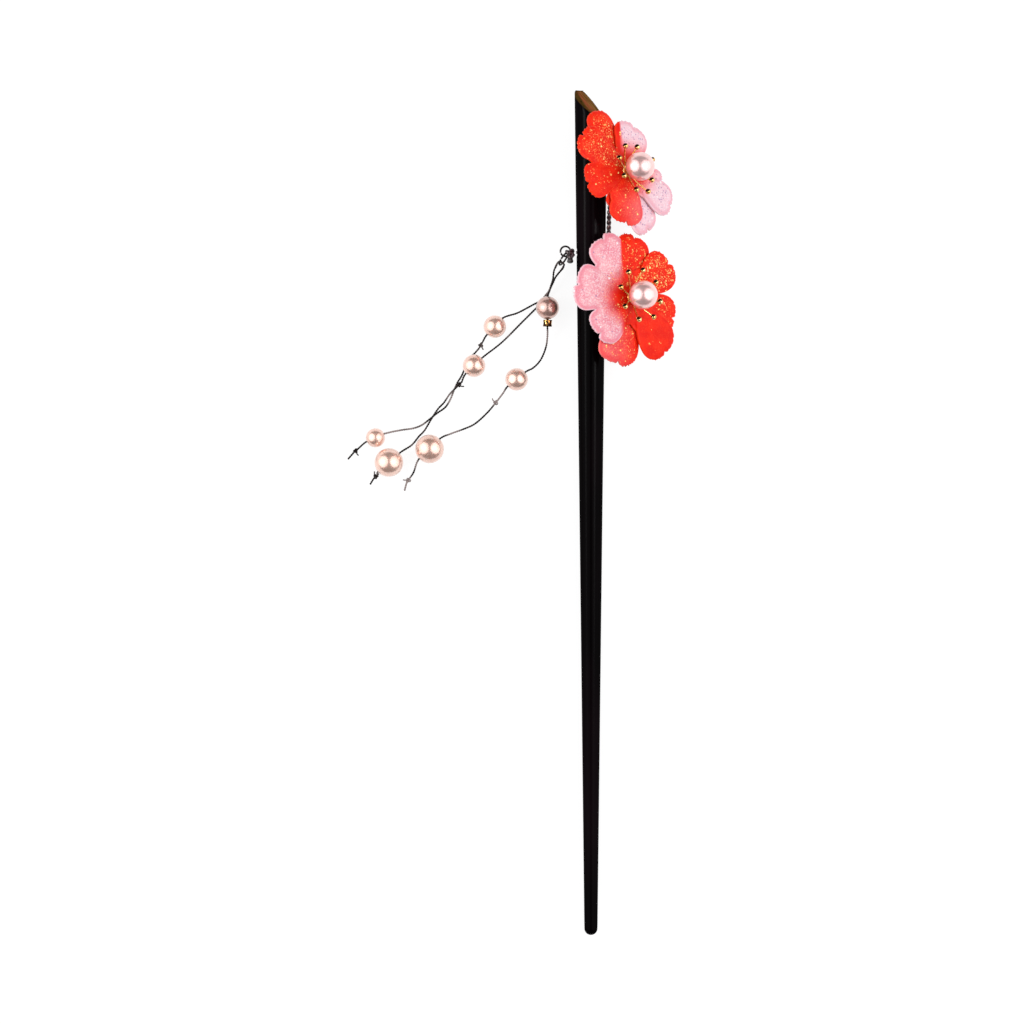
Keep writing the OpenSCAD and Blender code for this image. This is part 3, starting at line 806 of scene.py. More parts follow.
# %% [markdown]
# The blossoms are dyed half and half: a straight border runs over each of them, red on one
# side and pink on the other. It is sharp at the tips and melts into a red glow round the
# middle. A petal's share of pink is 0 for a red one, 1 for one that the border divides, and
# 2 for one that is pink all over; between 0 and 1 the border is faint and wide. All this is
# worked out once for each point of the mesh, in the pin's own frame.

# %% Dye the petals
GLOW_R = 7.5 * MM
UPPER_SPLIT = ((6.2 * MM, 165.7 * MM), (0.11, -1.0), 1)
LOWER_SPLIT = ((6.3 * MM, 131.9 * MM), (0.02, -1.0), -1)
SHARP = 0.35 * MM
SOFT = 2.5 * MM
FAINT = 8 * MM


def smoothstep(values, low, high):
    """0 below low and 1 above high, with a soft step between them."""
    share = np.clip((values - low) / (high - low), 0, 1)
    return share * share * (3 - 2 * share)


def layer_marks(points, petals, facts, split, pale, blossom):
    """Values for every point of a layer, whose points are in the pin's frame.

    They are its shares of pink, glitter and grain, how far it is from the petal's edge in
    millimetres, and whether the pink is a pale one."""
    (x, y), (way_x, way_y), pink_side = split
    size = math.hypot(way_x, way_y)
    beside = ((points[:, 1] - y) * way_x - (points[:, 0] - x) * way_y) / size
    own = facts["petal"].astype(int)
    petal_pink, glitter, grain = (np.array([petal[column] for petal in petals], float)[own]
                                  for column in (PINK, GLITTER, GRAIN))
    from_middle = np.linalg.norm(points[:, :2] - np.array(blossom.translation[:2]), axis=1)
    nearness = 1 - smoothstep(from_middle, 0.25 * GLOW_R, 1.3 * GLOW_R)
    divided = np.minimum(petal_pink, 1)
    width = SHARP + (SOFT - SHARP) * nearness + FAINT * (1 - divided)
    side = smoothstep(0.5 + pink_side * beside / width, 0, 1)
    pink = np.maximum(side * divided, petal_pink - 1)
    pink *= smoothstep(from_middle, 0.4 * GLOW_R, GLOW_R)
    return {"pink": pink, "glitter": glitter, "grain": grain, "edge": facts["edge"],
            "pale": [pale] * len(points)}


# %% [markdown]
# The resin is clear and dyed, with glitter stirred into it: gold flakes in the red, and in the
# pink a sugary white grain with some violet flakes. Light enters it, so it gets a little
# subsurface scattering. The border of a petal was cast first and has little glitter. Flakes
# are Voronoi cells: a cell's colour is its chance, which says if there is a flake in it, how
# large it is and how yellow. A slow noise gathers the flakes into clouds. The yellowest large
# flakes also glow a little, because a real flake flashes more than its small picture can.

# %% Mix the resin
RED = (0.76, 0.017, 0.0023, 1)
RED_DEEP = (0.66, 0.0077, 0.0015, 1)
RED_RIM_HIGHLIGHT = (0.77, 0.039, 0.0091, 1)
PINK_DYE = (0.66, 0.21, 0.27, 1)
PINK_PALE = (0.71, 0.32, 0.36, 1)
PINK_COOL = (0.71, 0.53, 0.60, 1)
PINK_RIM_HIGHLIGHT = (0.75, 0.53, 0.58, 1)
ORANGE_GRAIN = (0.77, 0.12, 0.038, 1)
GOLD_FLAKE = (0.77, 0.26, 0.046, 1)
YELLOW_FLAKE = (0.77, 0.63, 0.23, 1)
WHITE_GRAIN = (0.75, 0.68, 0.70, 1)
VIOLET_FLAKE = (0.32, 0.14, 0.30, 1)


def flakes(place, size, radius, amount):
    """1 inside a flake, and how yellow it is. amount is the share of cells with a flake."""
    chance = place.cells(size, "Color")
    red, green, blue = (chance.node("ShaderNodeSeparateColor", {}, {"Color": chance}, name)
                        for name in ("Red", "Green", "Blue"))
    reach = radius * (0.55 + green * 0.75)
    dot = (reach - place.cells(size)).step(-0.04, 0.04)
    return dot * amount.above(red), blue


def petal_resin(name):
    finish, place = new_finish(name, {
        "Coat Weight": 0.05, "Coat Roughness": 0.12, "Specular IOR Level": 0.08,
        "Subsurface Weight": 0.2, "Subsurface Radius": (1.0, 0.35, 0.25),
        "Subsurface Scale": 0.7 * MM, "Emission Strength": 0.25,
    })
    pink, glitter, grain, edge, pale = (
        place.attribute(mark) for mark in ("pink", "glitter", "grain", "edge", "pale"))
    cloud = place.noise(2.2 * MM, detail=3)
    inner = edge.step(0.5, 1.3) * 0.85 + 0.15
    red = cloud.step(0.35, 0.7).mix(RED_DEEP, RED)
    rose = (cloud.step(0.3, 0.65) * inner).mix(PINK_DYE, PINK_PALE)
    rose = (pale * (inner * 0.3 + 0.4)).mix(rose, PINK_COOL)
    # Painted highlight: the rim colours are lighter, for the light that the thick edge of each
    # petal catches.
    rim = 1 - edge.step(0.05, 0.35)
    red = (rim * 0.6).mix(red, RED_RIM_HIGHLIGHT)
    rose = (rim * 0.7).mix(rose, PINK_RIM_HIGHLIGHT)
    sugar = place.noise(0.30 * MM, detail=3).step(0.46, 0.62) * inner
    rose = (sugar * 0.55).mix(rose, WHITE_GRAIN)
    sand = place.noise(0.26 * MM, detail=3).step(0.52, 0.62) * inner * grain
    red = (sand * 0.7).mix(red, ORANGE_GRAIN)
    violet = flakes(place, 0.48 * MM, 0.31, (pale * 0.40 + 0.10) * inner)[0]
    rose = (violet * 0.8).mix(rose, VIOLET_FLAKE)
    colour = pink.mix(red, rose)
    gathered = place.noise(1.5 * MM, detail=2).step(0.36, 0.62)
    amount = glitter * inner * (1 - pink)
    gold, gold_yellow = flakes(place, 0.50 * MM, 0.36, amount * gathered * 0.75)
    dust, dust_yellow = flakes(place, 0.24 * MM, 0.42, amount * (0.16 + gathered * 0.40))
    colour = gold.mix(colour, gold_yellow.mix(GOLD_FLAKE, YELLOW_FLAKE))
    colour = (dust * 0.75).mix(colour, dust_yellow.mix(GOLD_FLAKE, YELLOW_FLAKE))
    white = flakes(place, 0.9 * MM, 0.26, 0.12 * inner * pink)[0]
    colour = white.mix(colour, WHITE_GRAIN)
    shiny = (gold + dust * 0.6 + white).step(0, 1)
    glow = (gold * gold_yellow).mix((0, 0, 0, 1), YELLOW_FLAKE)
    swell = place.noise(1.1 * MM).bump(0.04 * MM)
    rough = (place.noise(0.16 * MM) * (0.3 + pink * 0.9) + shiny * 0.6).bump(0.02 * MM, swell)
    return wear(finish, base_color=colour, roughness=0.42 - shiny * 0.15, normal=rough,
                emission_color=glow)


# %% Make the blossoms
BLOSSOM_LAYERS = {
    "upper_front": (UPPER_FRONT, -PETAL_T, upper_frame, UPPER_SPLIT, 1, 3),
    "upper_back": (UPPER_BACK, -2 * PETAL_T - LAYER_GAP, upper_frame, UPPER_SPLIT, 1, 5),
    "lower_front": (LOWER_FRONT, -PETAL_T, lower_frame, LOWER_SPLIT, 0, 7),
    "lower_back": (LOWER_BACK, -2 * PETAL_T - LAYER_GAP, lower_frame, LOWER_SPLIT, 0, 11),
}
resin = petal_resin("petal_resin")
for layer, (petals, underside, blossom, split, pale, seed) in BLOSSOM_LAYERS.items():
    flat_points, faces, facts = layer_shape(petals, underside, seed)
    points = np.array([blossom @ Vector(point) for point in flat_points])
    marks = layer_marks(points, petals, facts, split, pale, blossom)
    make_piece(layer + "_petals", (points, faces), resin, [layer], marks)

# %% [markdown]
# The stamens are one small gold casting for each blossom: a hub, a peg that holds the pearl,
# and eight curved filaments with a ball on each end. Their directions and reaches are the
# CAD model's. A filament is a tube that thins towards its ball, and bends a little sideways.
# The gold is thin and worn in small clouds. The side of each ball that faces the pin's head
# is painted black: painted shade for the dark room that the ball mirrors there. Every point
# of the mesh carries its tarnish and painted shade: up to 1 they come in spots, and from
# there to 2 they close evenly.

# %% Plate with gold
GOLD = (1.0, 0.70, 0.30, 1)
GOLD_DEEP = (0.62, 0.29, 0.06, 1)
# The darkest colour serves for tarnish and for the painted shade on the stamens' balls.
TARNISH_AND_SHADE = (0.02, 0.010, 0.005, 1)


def gold_plate():
    finish, place = new_finish("gold_plate", {"Metallic": 1.0})
    worn = place.noise(0.5 * MM, detail=3)
    brushed = place.noise(0.08 * MM, detail=2)
    colour = worn.step(0.35, 0.65).mix(GOLD_DEEP, GOLD)
    # This value carries tarnish and painted shade: on the stamens' balls it paints the dark
    # reflection of the room.
    tarnish_and_shade = place.attribute("tarnish_and_shade")
    even = (tarnish_and_shade - 1).at_least(0.0)
    colour = (tarnish_and_shade * worn.step(0.45, 0.55) + even).mix(colour, TARNISH_AND_SHADE)
    return wear(finish, base_color=colour, roughness=0.06 + worn * 0.10,
                normal=(worn + brushed * 0.3).bump(0.008 * MM))


gold = gold_plate()

# %% Cast the stamens
STAMEN_R = 4.9 * MM
STAMEN_H = 3.4 * MM
STAMEN_D = 0.34 * MM
BALL_D = 1.16 * MM
HUB_D = 2.6 * MM
HUB_T = 0.35 * MM
SEAT = 0.1 * MM
PEG_D = 0.8 * MM
UPPER_STAMENS = [
    [8, 0.94], [68, 0.89], [106, 1.05], [144, 1.02],
    [191, 0.91], [242, 1.00], [277, 1.11], [309, 0.88],
]
LOWER_STAMENS = [
    [27, 0.97], [73, 1.08], [112, 1.13], [153, 1.06],
    [201, 0.96], [252, 1.03], [294, 1.07], [337, 0.99],
]
# Painted shade: each ball is painted black on the side that faces this way, for the dark room that
# its gold mirrors there.
PAINTED_SHADE_SIDE = Vector((-0.35, 0.80, 0.45)).normalized()
PAINTED_SHADE_FROM = 0.18
PAINTED_SHADE_FADE = 0.10


def ball_profile(diameter, steps):
    """A round ball's profile from its lower end to its upper one, round its own middle."""
    turns = [math.pi * (i / steps - 0.5) for i in range(steps + 1)]
    inner = [(diameter / 2 * math.cos(turn), diameter / 2 * math.sin(turn)) for turn in turns[1:-1]]
    return [(0, -diameter / 2)] + inner + [(0, diameter / 2)]


def stamens(rows, blossom, seed):
    """Hub, peg, filaments and balls of one blossom."""
    chance = random.Random(seed)
    rounded = 0.1 * MM
    hub = [(0, SEAT), (HUB_D / 2 - rounded, SEAT), (HUB_D / 2, SEAT + rounded),
           (HUB_D / 2, SEAT + HUB_T - rounded), (HUB_D / 2 - rounded, SEAT + HUB_T),
           (PEG_D / 2 + rounded, SEAT + HUB_T), (PEG_D / 2, SEAT + HUB_T + rounded),
           (PEG_D / 2, PEARL_H - PEG_D), (0, PEARL_H - PEG_D)]
    parts = [lathe(hub, blossom, 40)]
    painted_shade = [0.0] * len(parts[0][0])
    foot_r, foot_h = HUB_D / 5, SEAT + HUB_T / 2
    for angle, reach in rows:
        ball_r = STAMEN_R * reach
        turned = blossom @ Matrix.Rotation(math.radians(angle), 4, "Z")
        bend = chance.uniform(-0.16, 0.16) * MM
        route = [(foot_r, 0, foot_h), (ball_r * 0.35, bend * 0.6, STAMEN_H * 0.24),
                 (ball_r * 0.70, bend, STAMEN_H * 0.58), (ball_r, 0, STAMEN_H)]
        line = smooth_line([turned @ Vector(point) for point in route], 0.25 * MM)
        radii = [STAMEN_D / 2 * (1.35 - 0.3 * i / (len(line) - 1)) for i in range(len(line))]
        parts.append(tube(line, radii, 12))
        painted_shade += [0.0] * len(parts[-1][0])
        way = (line[-1] - line[-3]).normalized()
        seat = seat_at(turned @ Vector((ball_r, 0, STAMEN_H)), way)
        parts.append(lathe(ball_profile(BALL_D, 18), seat, 28))
        # Painted shade: points on the ball's side towards the pin's head get a value up to 2, which
        # paints them black.
        for point in parts[-1][0]:
            height = (point - seat.translation).dot(PAINTED_SHADE_SIDE) / BALL_D
            painted_shade.append(2 * min(1, max(0, (height - PAINTED_SHADE_FROM) / PAINTED_SHADE_FADE)))
    return gather(parts), {"tarnish_and_shade": painted_shade}


for node, rows, blossom, seed in (("upper_stamens", UPPER_STAMENS, upper_frame, 1),
                                  ("lower_stamens", LOWER_STAMENS, lower_frame, 2)):
    shape, painted_shade = stamens(rows, blossom, seed)
    make_piece(node + "_gold", shape, gold, [node], painted_shade)
for post in ("upper_post", "lower_post"):
    solid = frame["nodes"][post]
    solid.data.materials.clear()
    solid.data.materials.append(gold)

# %% [markdown]
# Imitation pearls are glass beads with many coats of pearl essence. They shine like a mirror
# seen through milk: a bright sharp reflection from the clear coat, and a soft deep one from
# the flakes below it. So the finish is mostly metallic under a coat, and mirrors the white
# table at the bead's rim and the dark room above it. A coat with a higher index of refraction
# mirrors more, so its spots are whiter. The beads are turned like on a lathe, with a rounded
# lip where the bore comes out, and are never quite round.

# %% Coat the pearls
PEARL_COATS = {
    "pink_pearl": ((0.94, 0.62, 0.60, 1), (0.80, 0.49, 0.48, 1), 0.72, 1.55),
    "champagne_pearl": ((0.88, 0.58, 0.48, 1), (0.70, 0.41, 0.32, 1), 0.70, 2.1),
    "bronze_pearl": ((0.70, 0.44, 0.38, 1), (0.50, 0.29, 0.24, 1), 0.74, 1.8),
}


def pearl_coat(name):
    """A pearl's finish, from its body colour, its shade, its share of metal and its coat."""
    body, shade, metal, refraction = PEARL_COATS[name]
    finish, place = new_finish(name, {
        "Coat Weight": 0.9, "Coat Roughness": 0.08, "Coat IOR": refraction, "Metallic": metal,
        "Subsurface Weight": 0.15, "Subsurface Radius": (1.0, 0.6, 0.5),
        "Subsurface Scale": 1.0 * MM,
    })
    cloud = place.noise(2.0 * MM, detail=2)
    nacre = place.noise(0.35 * MM, detail=3)
    colour = (cloud.step(0.3, 0.75) * 0.6 + nacre * 0.2).mix(body, shade)
    return wear(finish, base_color=colour, roughness=0.28 + cloud * 0.05,
                normal=(cloud * 4 + nacre).bump(0.006 * MM))


pearl_finishes = {name: pearl_coat(name) for name in PEARL_COATS}

# %% Turn the pearls
BEAD_SIDES = 48
BEAD_STEPS = 36
LIP = 0.12 * MM
UNEVEN = 0.004


def pearl_profile(diameter, bore_r, through):
    """Profile of a drilled pearl round its middle. A half drilled one is closed at its top."""
    radius = diameter / 2
    start = -math.acos((bore_r + LIP) / radius)
    end = -start if through else math.pi / 2
    turns = [start + (end - start) * i / BEAD_STEPS for i in range(BEAD_STEPS + 1)]
    profile = [(radius * math.cos(turn), radius * math.sin(turn)) for turn in turns]
    mouth = radius * math.sin(-start)
    lip_in = [(bore_r + LIP * 0.3, -mouth + LIP * 0.1), (bore_r, -mouth + LIP)]
    if through:
        lip_out = [(bore_r, mouth - LIP), (bore_r + LIP * 0.3, mouth - LIP * 0.1)]
        return lip_in[::-1] + profile + lip_out[::-1]
    floor = radius * 0.1 - PEG_D
    return [(0, floor), (bore_r, floor)] + lip_in[::-1] + profile[:-1] + [(0, radius)]


def pearl(node, seat, bore_r, through, finish, slot, seed):
    """One pearl of the size that its solid has. Slow waves keep it from being quite round."""
    low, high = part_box(node)
    diameter = high.z - low.z
    profile = pearl_profile(diameter, bore_r, through)
    points, faces = lathe(profile, seat, BEAD_SIDES, ring=through)
    middle_point = seat.translation
    chance = random.Random(seed)
    waves = [(Vector([chance.uniform(-1, 1) for _ in range(3)]), chance.uniform(0, 6))
             for _ in range(4)]
    uneven = []
    for point in points:
        out = point - middle_point
        swing = sum(math.sin(out.dot(way) / diameter * 5 + phase) for way, phase in waves) / 4
        uneven.append(middle_point + out * (1 + UNEVEN * (swing - 1)))
    return make_piece(node + "_coated", (uneven, faces), pearl_finishes[finish], [node])


for node, blossom, seed in (("upper_pearl", upper_frame, 21), ("lower_pearl", lower_frame, 22)):
    seat = blossom @ Matrix.Translation((0, 0, PEARL_H))
    pearl(node, seat, PEG_D / 2 + 0.05 * MM, False, "pink_pearl", "pink_pearl", seed)

# %% [markdown]
# The threads run through the beads and knots of the tassel, so their lines are the CAD
# model's routes again: points given from the middle of the large ring, with a name where
# the thread passes through a bead. The bead's place is read from the frame. The cord's
# route is counted from the middle of the cross hole instead.

# %% Lay the routes
THREAD_D = 0.4 * MM
CRIMP_LENGTH = 1.4 * MM
WIRE_D = 0.4 * MM
BORE_TURNS = {
    "top_pearl": 268, "inner_pearl": 226, "middle_pearl": 224, "outer_pearl": 219,
    "end_pearl": 204, "left_end_pearl": 221, "right_end_pearl": 224, "gold_crimp": 268,
    "inner_knot": 240, "middle_knot": 225, "outer_knot": 231, "end_knot": 222,
    "left_end_knot": 224, "right_end_knot": 238,
}
UPWARD = ("end_knot", "end_pearl", "inner_knot", "inner_pearl")
LONG_ROUTE = [
    (-44.6, -41.4, 0.4), "end_knot", "end_pearl", (-33.6, -35.4, 1.2), (-31, -35, 0.9),
    (-29.1, -34.2, 0.5), (-26.3, -32, 0.25), (-24.4, -30.6, 0.25), (-23.3, -28.8, 0.25),
    (-22.7, -27.2, 0.25), (-21.8, -25.3, 0.25), (-21, -24, 0.25), (-19.7, -20.9, 0.25),
    (-18.3, -19.4, 0.6), "inner_knot", "inner_pearl", (-9.6, -11.2, 1.3), (-7.1, -9.9, 0.9),
    (-6.2, -9.4, 0.7), (-5.4, -9, 0.62), (-4.7, -8.5, 0.68), (-4.15, -8, 0.8),
    (-3.65, -7.4, 0.95), (-3.15, -6.8, 1.25), (-2.8, -6.1, 1.6), (-2.5, -5.2, 1.9),
    (-2.2, -4.3, 2.15), (-2.1, -3.4, 2.3), (-2, -2.6, 2.36), (-1.6, -1.5, 2.36),
    (-1.1, -0.7, 2.36), (-0.45, -0.7, 2.36), (0.1, -1.1, 2.36), (-0.1, -1.7, 2.34),
    (-0.65, -2.5, 2.2), (-1.3, -3.3, 1.95), (-1.85, -4.1, 1.65), (-2.3, -5, 1.35),
    (-2.7, -6, 1), (-3, -6.9, 0.6), (-3.35, -7.6, 0.35), (-3.85, -8.3, 0.25),
    (-4.5, -9, 0.25), (-6.2, -10.7, 0.25), (-8.6, -13.1, 0.6), (-12.7, -17.2, 1.3),
    "middle_pearl", "middle_knot", (-23.5, -27.9, 0.95),
    (-24.8, -29.8, 0.75), (-25.8, -30.8, 0.75), (-27.1, -32.7, 0.8), (-28.7, -35.4, 1.2),
    (-29.9, -36.7, 1.7), (-31.4, -38.5, 2.4), "left_end_pearl", "left_end_knot", (-40, -46.6, 0.6),
]
SHORT_ROUTE = [
    (-1.75, -2, 3), (-1.4, -1.2, 3), (-1, -0.6, 3), (-0.4, -0.65, 3), (0.1, -1.15, 3),
    (-0.1, -1.9, 3), (-0.85, -2.75, 2.9), (-1.65, -3.8, 2.75), (-2.2, -5, 2.65),
    (-2.75, -6.2, 2.5),
    "top_pearl", "gold_crimp", (-3.3, -15.3, 1.6), (-3.4, -16.9, 1.1), (-3.6, -18.1, 0.9),
    (-4.1, -19.6, 0.95), (-4.75, -20.9, 1.15), (-5.6, -21.95, 1.45), (-6.6, -22.75, 1.8),
    "outer_pearl", (-12.4, -27.6, 1.6), "outer_knot",
    (-15.4, -31.4, 0.8), (-16.9, -32.9, 0.5), (-18.5, -34.2, 0.4), (-20.2, -35, 0.6),
    (-21.8, -35.6, 1.1), (-23.4, -36.2, 1.8), "right_end_pearl", (-31, -44.1, 1.6),
    "right_end_knot", (-32.9, -47.9, 0.3),
]
CORD_ROUTE = [
    (4.5, 15, 2.3), (4.35, 13, 2), (4, 10.4, 1.4), (3.76, 7.8, 0.7), (3.68, 4.6, 0.2),
    (3.66, 2.4, 0), (3.66, 1, 0), (3.15, 0.15, 0), (2.3, 0, 0), (0, 0, 0),
]


def middle_of(node):
    """The middle of a solid of the CAD model."""
    low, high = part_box(node)
    return (low + high) / 2


def bore_way(node):
    """Which way a bead's or a knot's bore looks; all of them lie level."""
    turn = math.radians(BORE_TURNS[node])
    return Vector((math.cos(turn), math.sin(turn), 0))


def through(node):
    """The three points where a thread enters, crosses and leaves a bead."""
    low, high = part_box(node)
    half = CRIMP_LENGTH / 2 if node == "gold_crimp" else (high.z - low.z) / 2
    reach = (half + THREAD_D / 2) * bore_way(node) * (-1 if node in UPWARD else 1)
    return [middle_of(node) - reach, middle_of(node), middle_of(node) + reach]


def laid(route):
    """The points of a route in the pin's frame, in metres."""
    ring = middle_of("large_ring")
    points = []
    for entry in route:
        if isinstance(entry, str):
            points += through(entry)
        else:
            across, along, height = entry
            points.append(Vector((ring.x + across * MM, ring.y + along * MM, height * MM)))
    return points


print("the long thread goes through", len(laid(LONG_ROUTE)), "points")

# %% [markdown]
# The strands hang on a dark waxed thread of two plies. It looks beaded, because each half
# turn of the plies catches the light once, and here and there its dye has rubbed off and it
# is pale. Two thin tubes are wound round the route. A knot in it is drawn as a trefoil, the
# simplest knot that there is.

# %% Wax the thread
THREAD_DARK = (0.004, 0.002, 0.002, 1)
THREAD_LIGHT = (0.018, 0.0108, 0.01, 1)
THREAD_PALE = (0.372, 0.3, 0.288, 1)


def waxed_thread():
    finish, place = new_finish("waxed_thread", {"Specular IOR Level": 0.12})
    fibre = place.noise(0.07 * MM, detail=3)
    patch = place.noise(1.4 * MM)
    colour = (fibre * 0.6 + patch.step(0.4, 0.7) * 0.4).mix(THREAD_DARK, THREAD_LIGHT)
    bare_wax = place.noise(5 * MM, detail=1).step(0.52, 0.64)
    colour = (bare_wax * (fibre.step(0.42, 0.58) * 0.4 + 0.45)).mix(colour, THREAD_PALE)
    return wear(finish, base_color=colour, roughness=0.36 + fibre * 0.2,
                normal=fibre.bump(0.02 * MM))


thread_finish = waxed_thread()

# %% Spin the threads and tie their knots
THREAD_PLY_R = 0.134 * MM
THREAD_WIND_R = 0.080 * MM
THREAD_TURN = 0.95 * MM
THREAD_STEP = 0.09 * MM
KNOT_TUBE_R = 0.12 * MM
KNOT_SIZE = 0.155 * MM
WHISKER = 0.9 * MM


def thread(node, route):
    """A thread of two plies along its route, which is smoothed twice."""
    line = smooth_line(smooth_line(laid(route), 0.88 * MM), THREAD_STEP)
    plies = twisted_plies(line, THREAD_PLY_R, THREAD_WIND_R, THREAD_TURN, 2, 6)
    length = sum((b - a).length for a, b in zip(line, line[1:]))
    print(node, "is", round(length / MM), "mm long")
    return make_piece(node + "_spun", gather(plies), thread_finish, [node])


def trefoil(seat, size, height):
    """A closed line that is knotted once, round the seat's Z axis."""
    line = []
    for i in range(97):
        t = 2 * math.pi * i / 96
        x = math.sin(t) + 2 * math.sin(2 * t)
        y = math.cos(t) - 2 * math.cos(2 * t)
        line.append(seat @ (Vector((x, y, -math.sin(3 * t) * height)) * size))
    return line


def knot(node, seed):
    """An open knot of thread that lies on its strand, with the whisker of its cut end."""
    chance = random.Random(seed)
    lean = Vector((chance.uniform(-0.4, 0.4), chance.uniform(-0.4, 0.4), 1))
    seat = seat_at(middle_of(node), lean)
    seat @= Matrix.Rotation(chance.uniform(0, 2 * math.pi), 4, "Z")
    line = trefoil(seat, KNOT_SIZE, 1.2)
    way = bore_way(node)
    side = Vector((-way.y, way.x, 0)) * chance.choice((-1, 1))
    start = middle_of(node) + side * 0.25 * MM
    end = start + (side * 0.8 + way * chance.uniform(-0.7, 0.7)).normalized() * WHISKER
    whisker = smooth_line([start, (start + end) / 2 + way * 0.12 * MM, end], 0.1 * MM)
    loop = tube(line, [KNOT_TUBE_R] * len(line), 10)
    end_of_thread = tube(whisker, [THREAD_PLY_R] * len(whisker), 8)
    shape = gather([loop, end_of_thread])
    return make_piece(node + "_tied", shape, thread_finish, [node])


thread("long_thread", LONG_ROUTE)
thread("short_thread", SHORT_ROUTE)
KNOTS = ("inner_knot", "middle_knot", "outer_knot", "end_knot", "left_end_knot", "right_end_knot")
for seed, node in enumerate(KNOTS):
    knot(node, seed)

# %% String the pearls
STRAND_BORE_R = 0.45 * MM
STRAND_PEARLS = (
    "inner_pearl", "middle_pearl", "outer_pearl", "end_pearl", "left_end_pearl",
    "right_end_pearl",
)


def strand_pearl(node, finish, seed):
    """A pearl that is drilled through and turned along its strand."""
    seat = seat_at(middle_of(node), bore_way(node))
    return pearl(node, seat, STRAND_BORE_R, True, finish, "champagne_pearl", seed)


for seed, node in enumerate(STRAND_PEARLS):
    strand_pearl(node, "champagne_pearl", 30 + seed)
strand_pearl("top_pearl", "bronze_pearl", 40)

# %% [markdown]
# The crimp is a short gold barrel that is squeezed onto the thread, so it is a little flat
# and its ends flare. It is turned like the pearls and then pressed. It is tarnished all over,
# and it is darker towards its lower end.

# %% Press the crimp
CRIMP_D = 1.9 * MM
CRIMP_PRESS = 0.86
EVEN_DULL = 1.15


def crimp(seat):
    """The flared barrel, pressed a little flat."""
    half, wall, lip = CRIMP_LENGTH / 2, STRAND_BORE_R, 0.08 * MM
    outer = CRIMP_D / 2
    profile = [(wall, -half + lip), (wall + lip, -half), (outer - lip, -half), (outer, -half + lip),
               (outer * 0.93, -half * 0.45), (outer * 0.90, 0), (outer * 0.93, half * 0.45),
               (outer, half - lip), (outer - lip, half), (wall + lip, half), (wall, half - lip)]
    return lathe(profile, seat @ Matrix.Diagonal((1, CRIMP_PRESS, 1, 1)), 40, ring=True)


crimp_seat = seat_at(middle_of("gold_crimp"), bore_way("gold_crimp"))
crimp_shape = crimp(crimp_seat)
crimp_dull = []
for point in crimp_shape[0]:
    below = (crimp_seat.translation.y - point.y) / (CRIMP_LENGTH / 2)
    crimp_dull.append(EVEN_DULL + (2 - EVEN_DULL) * min(1, max(0, below)))
make_piece("gold_crimp_pressed", crimp_shape, gold, ["gold_crimp"], {"tarnish_and_shade": crimp_dull})

# %% [markdown]
# Two jump rings of dark oxidised wire join the strands to the cord. A jump ring is a piece of
# wire bent round until its ends meet, so each gets a narrow gap with cut ends. Its radius is
# read from the frame, so that the rings stay linked just as the CAD model has them.

# %% Bend the rings
WIRE_DARK = (0.021, 0.0192, 0.0198, 1)
WIRE_LIGHT = (0.078, 0.069, 0.066, 1)
RING_GAP = math.radians(7)


def dark_wire():
    finish, place = new_finish("dark_wire", {"Metallic": 1.0})
    worn = place.noise(0.3 * MM, detail=3)
    return wear(finish, base_color=worn.step(0.4, 0.75).mix(WIRE_DARK, WIRE_LIGHT),
                roughness=0.25 + worn * 0.2, normal=worn.bump(0.01 * MM))


def ring_shape(middle_point, turn, radius, gap_at):
    """A ring round the turned frame's Z axis, open at one place."""
    seat = Matrix.Translation(middle_point) @ turn
    line = []
    for i in range(97):
        angle = gap_at + RING_GAP / 2 + (2 * math.pi - RING_GAP) * i / 96
        line.append(seat @ Vector((radius * math.cos(angle), radius * math.sin(angle), 0)))
    return tube(line, [WIRE_D / 2] * len(line), 16)


wire = dark_wire()
LARGE_RING_TURN = math.radians(237)
LARGE_RING_TILT = math.radians(16)
small_low, small_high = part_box("small_ring")
large_low, large_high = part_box("large_ring")
small_r = (small_high.x - small_low.x - WIRE_D) / 2
large_r = (large_high.z - large_low.z - WIRE_D) / 2 / math.cos(LARGE_RING_TILT)
upright = Matrix.Rotation(LARGE_RING_TURN, 4, "Z")
upright @= Matrix.Rotation(math.pi / 2 + LARGE_RING_TILT, 4, "X")
small_shape = ring_shape(middle_of("small_ring"), Matrix.Identity(4), small_r, math.radians(200))
large_shape = ring_shape(middle_of("large_ring"), upright, large_r, math.radians(75))
make_piece("small_ring_bent", small_shape, wire, ["small_ring"])
make_piece("large_ring_bent", large_shape, wire, ["large_ring"])
print("rings of", round(2 * small_r / MM, 2), "and", round(2 * large_r / MM, 2), "mm")

# %% [markdown]
# The tie cord is silk, two thick plies twisted hard. It comes down from behind the upper
# blossom, enters the cross hole and is knotted on the other side round the rings. Its plies
# are wound round its route like the thread's. The knot is a trefoil again, drawn tight over a
# core, and the cut end that hangs from it was dipped in glue, which made it grey and round.

# %% Twist the cord
CORD_PLY_R = 0.28 * MM
CORD_WIND_R = 0.215 * MM
CORD_TURN = 2.14 * MM
SILK_DARK = (0.006, 0.0015, 0.0025, 1)
SILK_WINE = (0.0414, 0.00759, 0.0138, 1)
SILK_PAINTED_SHINE = (0.552, 0.428, 0.414, 1)
GLUE_GREY = (0.0414, 0.0359, 0.0331, 1)


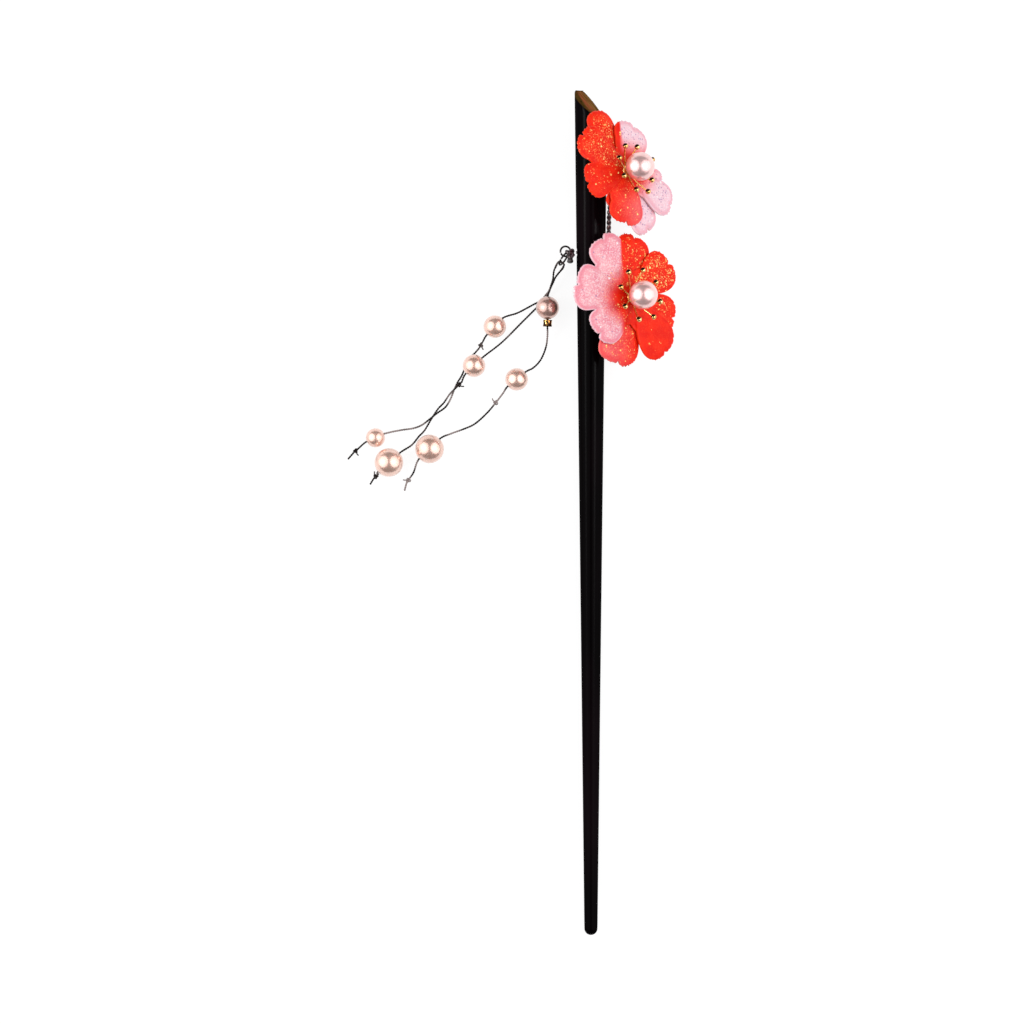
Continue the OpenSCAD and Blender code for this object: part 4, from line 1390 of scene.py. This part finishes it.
def twisted_silk():
    finish, place = new_finish("twisted_silk", {
        "Sheen Weight": 0.3, "Sheen Roughness": 0.3, "Coat Weight": 0.7, "Coat Roughness": 0.16,
    })
    fibre = place.noise(0.10 * MM, detail=3, stretch=(1.0, 0.35, 1.0))
    patch = place.noise(0.9 * MM)
    # Painted highlight: pale glints in rows stand for the light that each turn of the plies
    # catches; the shine value on the mesh lets them show.
    painted_glint = place.noise(0.34 * MM, detail=1, stretch=(1.0, 0.5, 1.0)).step(0.58, 0.66)
    colour = patch.step(0.35, 0.65).mix(SILK_DARK, SILK_WINE)
    colour = (fibre.step(0.60, 0.72) * 0.3).mix(colour, SILK_WINE)
    colour = (painted_glint * fibre.step(0.40, 0.55) * place.attribute("shine")).mix(colour, SILK_PAINTED_SHINE)
    colour = place.attribute("glue").mix(colour, GLUE_GREY)
    return wear(finish, base_color=colour, roughness=0.42 + fibre * 0.2,
                normal=fibre.bump(0.035 * MM))


silk = twisted_silk()
hole_middle = Vector((0, hole_y, hole_z))
cord_points = [hole_middle + Vector(point) * MM for point in CORD_ROUTE]
cord_points.append(hole_middle - Vector((pin_r(hole_y), 0, 0)))
cord_line = smooth_line(smooth_line(cord_points, 2.42 * MM), 0.12 * MM)
cord_shape = gather(twisted_plies(cord_line, CORD_PLY_R, CORD_WIND_R, CORD_TURN, 2, 12))
# The painted glints show all along the cord.
cord_marks = {"shine": [1.0] * len(cord_shape[0]), "glue": [0.0] * len(cord_shape[0])}
make_piece("tie_cord_twisted", cord_shape, silk, ["tie_cord"], cord_marks)

# %% Tie its knot
CORD_KNOT_D = 2.4 * MM
CORD_END_D = 1.5 * MM
KNOT_ROPE_R = 0.40 * MM
KNOT_LOOPS = 0.27 * MM


def cord_knot():
    """A trefoil of cord, a core that fills it, and the glued end below it."""
    out = pin_r(hole_y) + SEAT + CORD_KNOT_D / 2
    ball = hole_middle - Vector((out, CORD_KNOT_D / 11, 0))
    seat = seat_at(ball, Vector((0.45, 0.35, 0.82)))
    line = trefoil(seat, KNOT_LOOPS, 1.7)
    ply_r, wind_r = KNOT_ROPE_R * 0.62, KNOT_ROPE_R * 0.38
    rope = gather(twisted_plies(line, ply_r, wind_r, CORD_TURN * 0.5, 2, 10))
    core = lathe(ball_profile(CORD_KNOT_D * 0.60, 12), Matrix.Translation(ball), 24)
    end = ball - Vector((0, 0.35 * (CORD_KNOT_D + CORD_END_D), 0))
    tail = Matrix.Translation(end) @ Matrix.Rotation(math.pi / 2 - 0.25, 4, "X")
    r = CORD_END_D / 2
    drop = [(0, -r * 0.9), (r * 0.55, -r * 0.8), (r * 0.70, -r * 0.4), (r * 0.80, 0),
            (r * 0.90, r * 0.3), (r * 0.82, r * 0.65), (r * 0.5, r * 0.88), (0, r * 0.97)]
    glued = lathe(drop, tail, 24)
    # The painted glints are weaker on the knot's rope, and its core and glued end get none.
    marks = {"shine": [0.4] * len(rope[0]) + [0.0] * (len(core[0]) + len(glued[0])),
             "glue": [0.0] * (len(rope[0]) + len(core[0])) + [1.0] * len(glued[0])}
    return gather([rope, core, glued]), marks


knot_shape, knot_marks = cord_knot()
make_piece("cord_knot_tied", knot_shape, silk, ["cord_knot"], knot_marks)

# %% [markdown]
# On each axis it prints the lower ends of the CAD model and of the dressed one, then the
# upper ends.

# %% Measure and finish
now_low, now_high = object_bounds()
for side, name in enumerate("XYZ"):
    ends = (CAD_LOW[side], now_low[side], now_high[side], CAD_HIGH[side])
    print(name, [round(value / MM, 2) for value in ends])
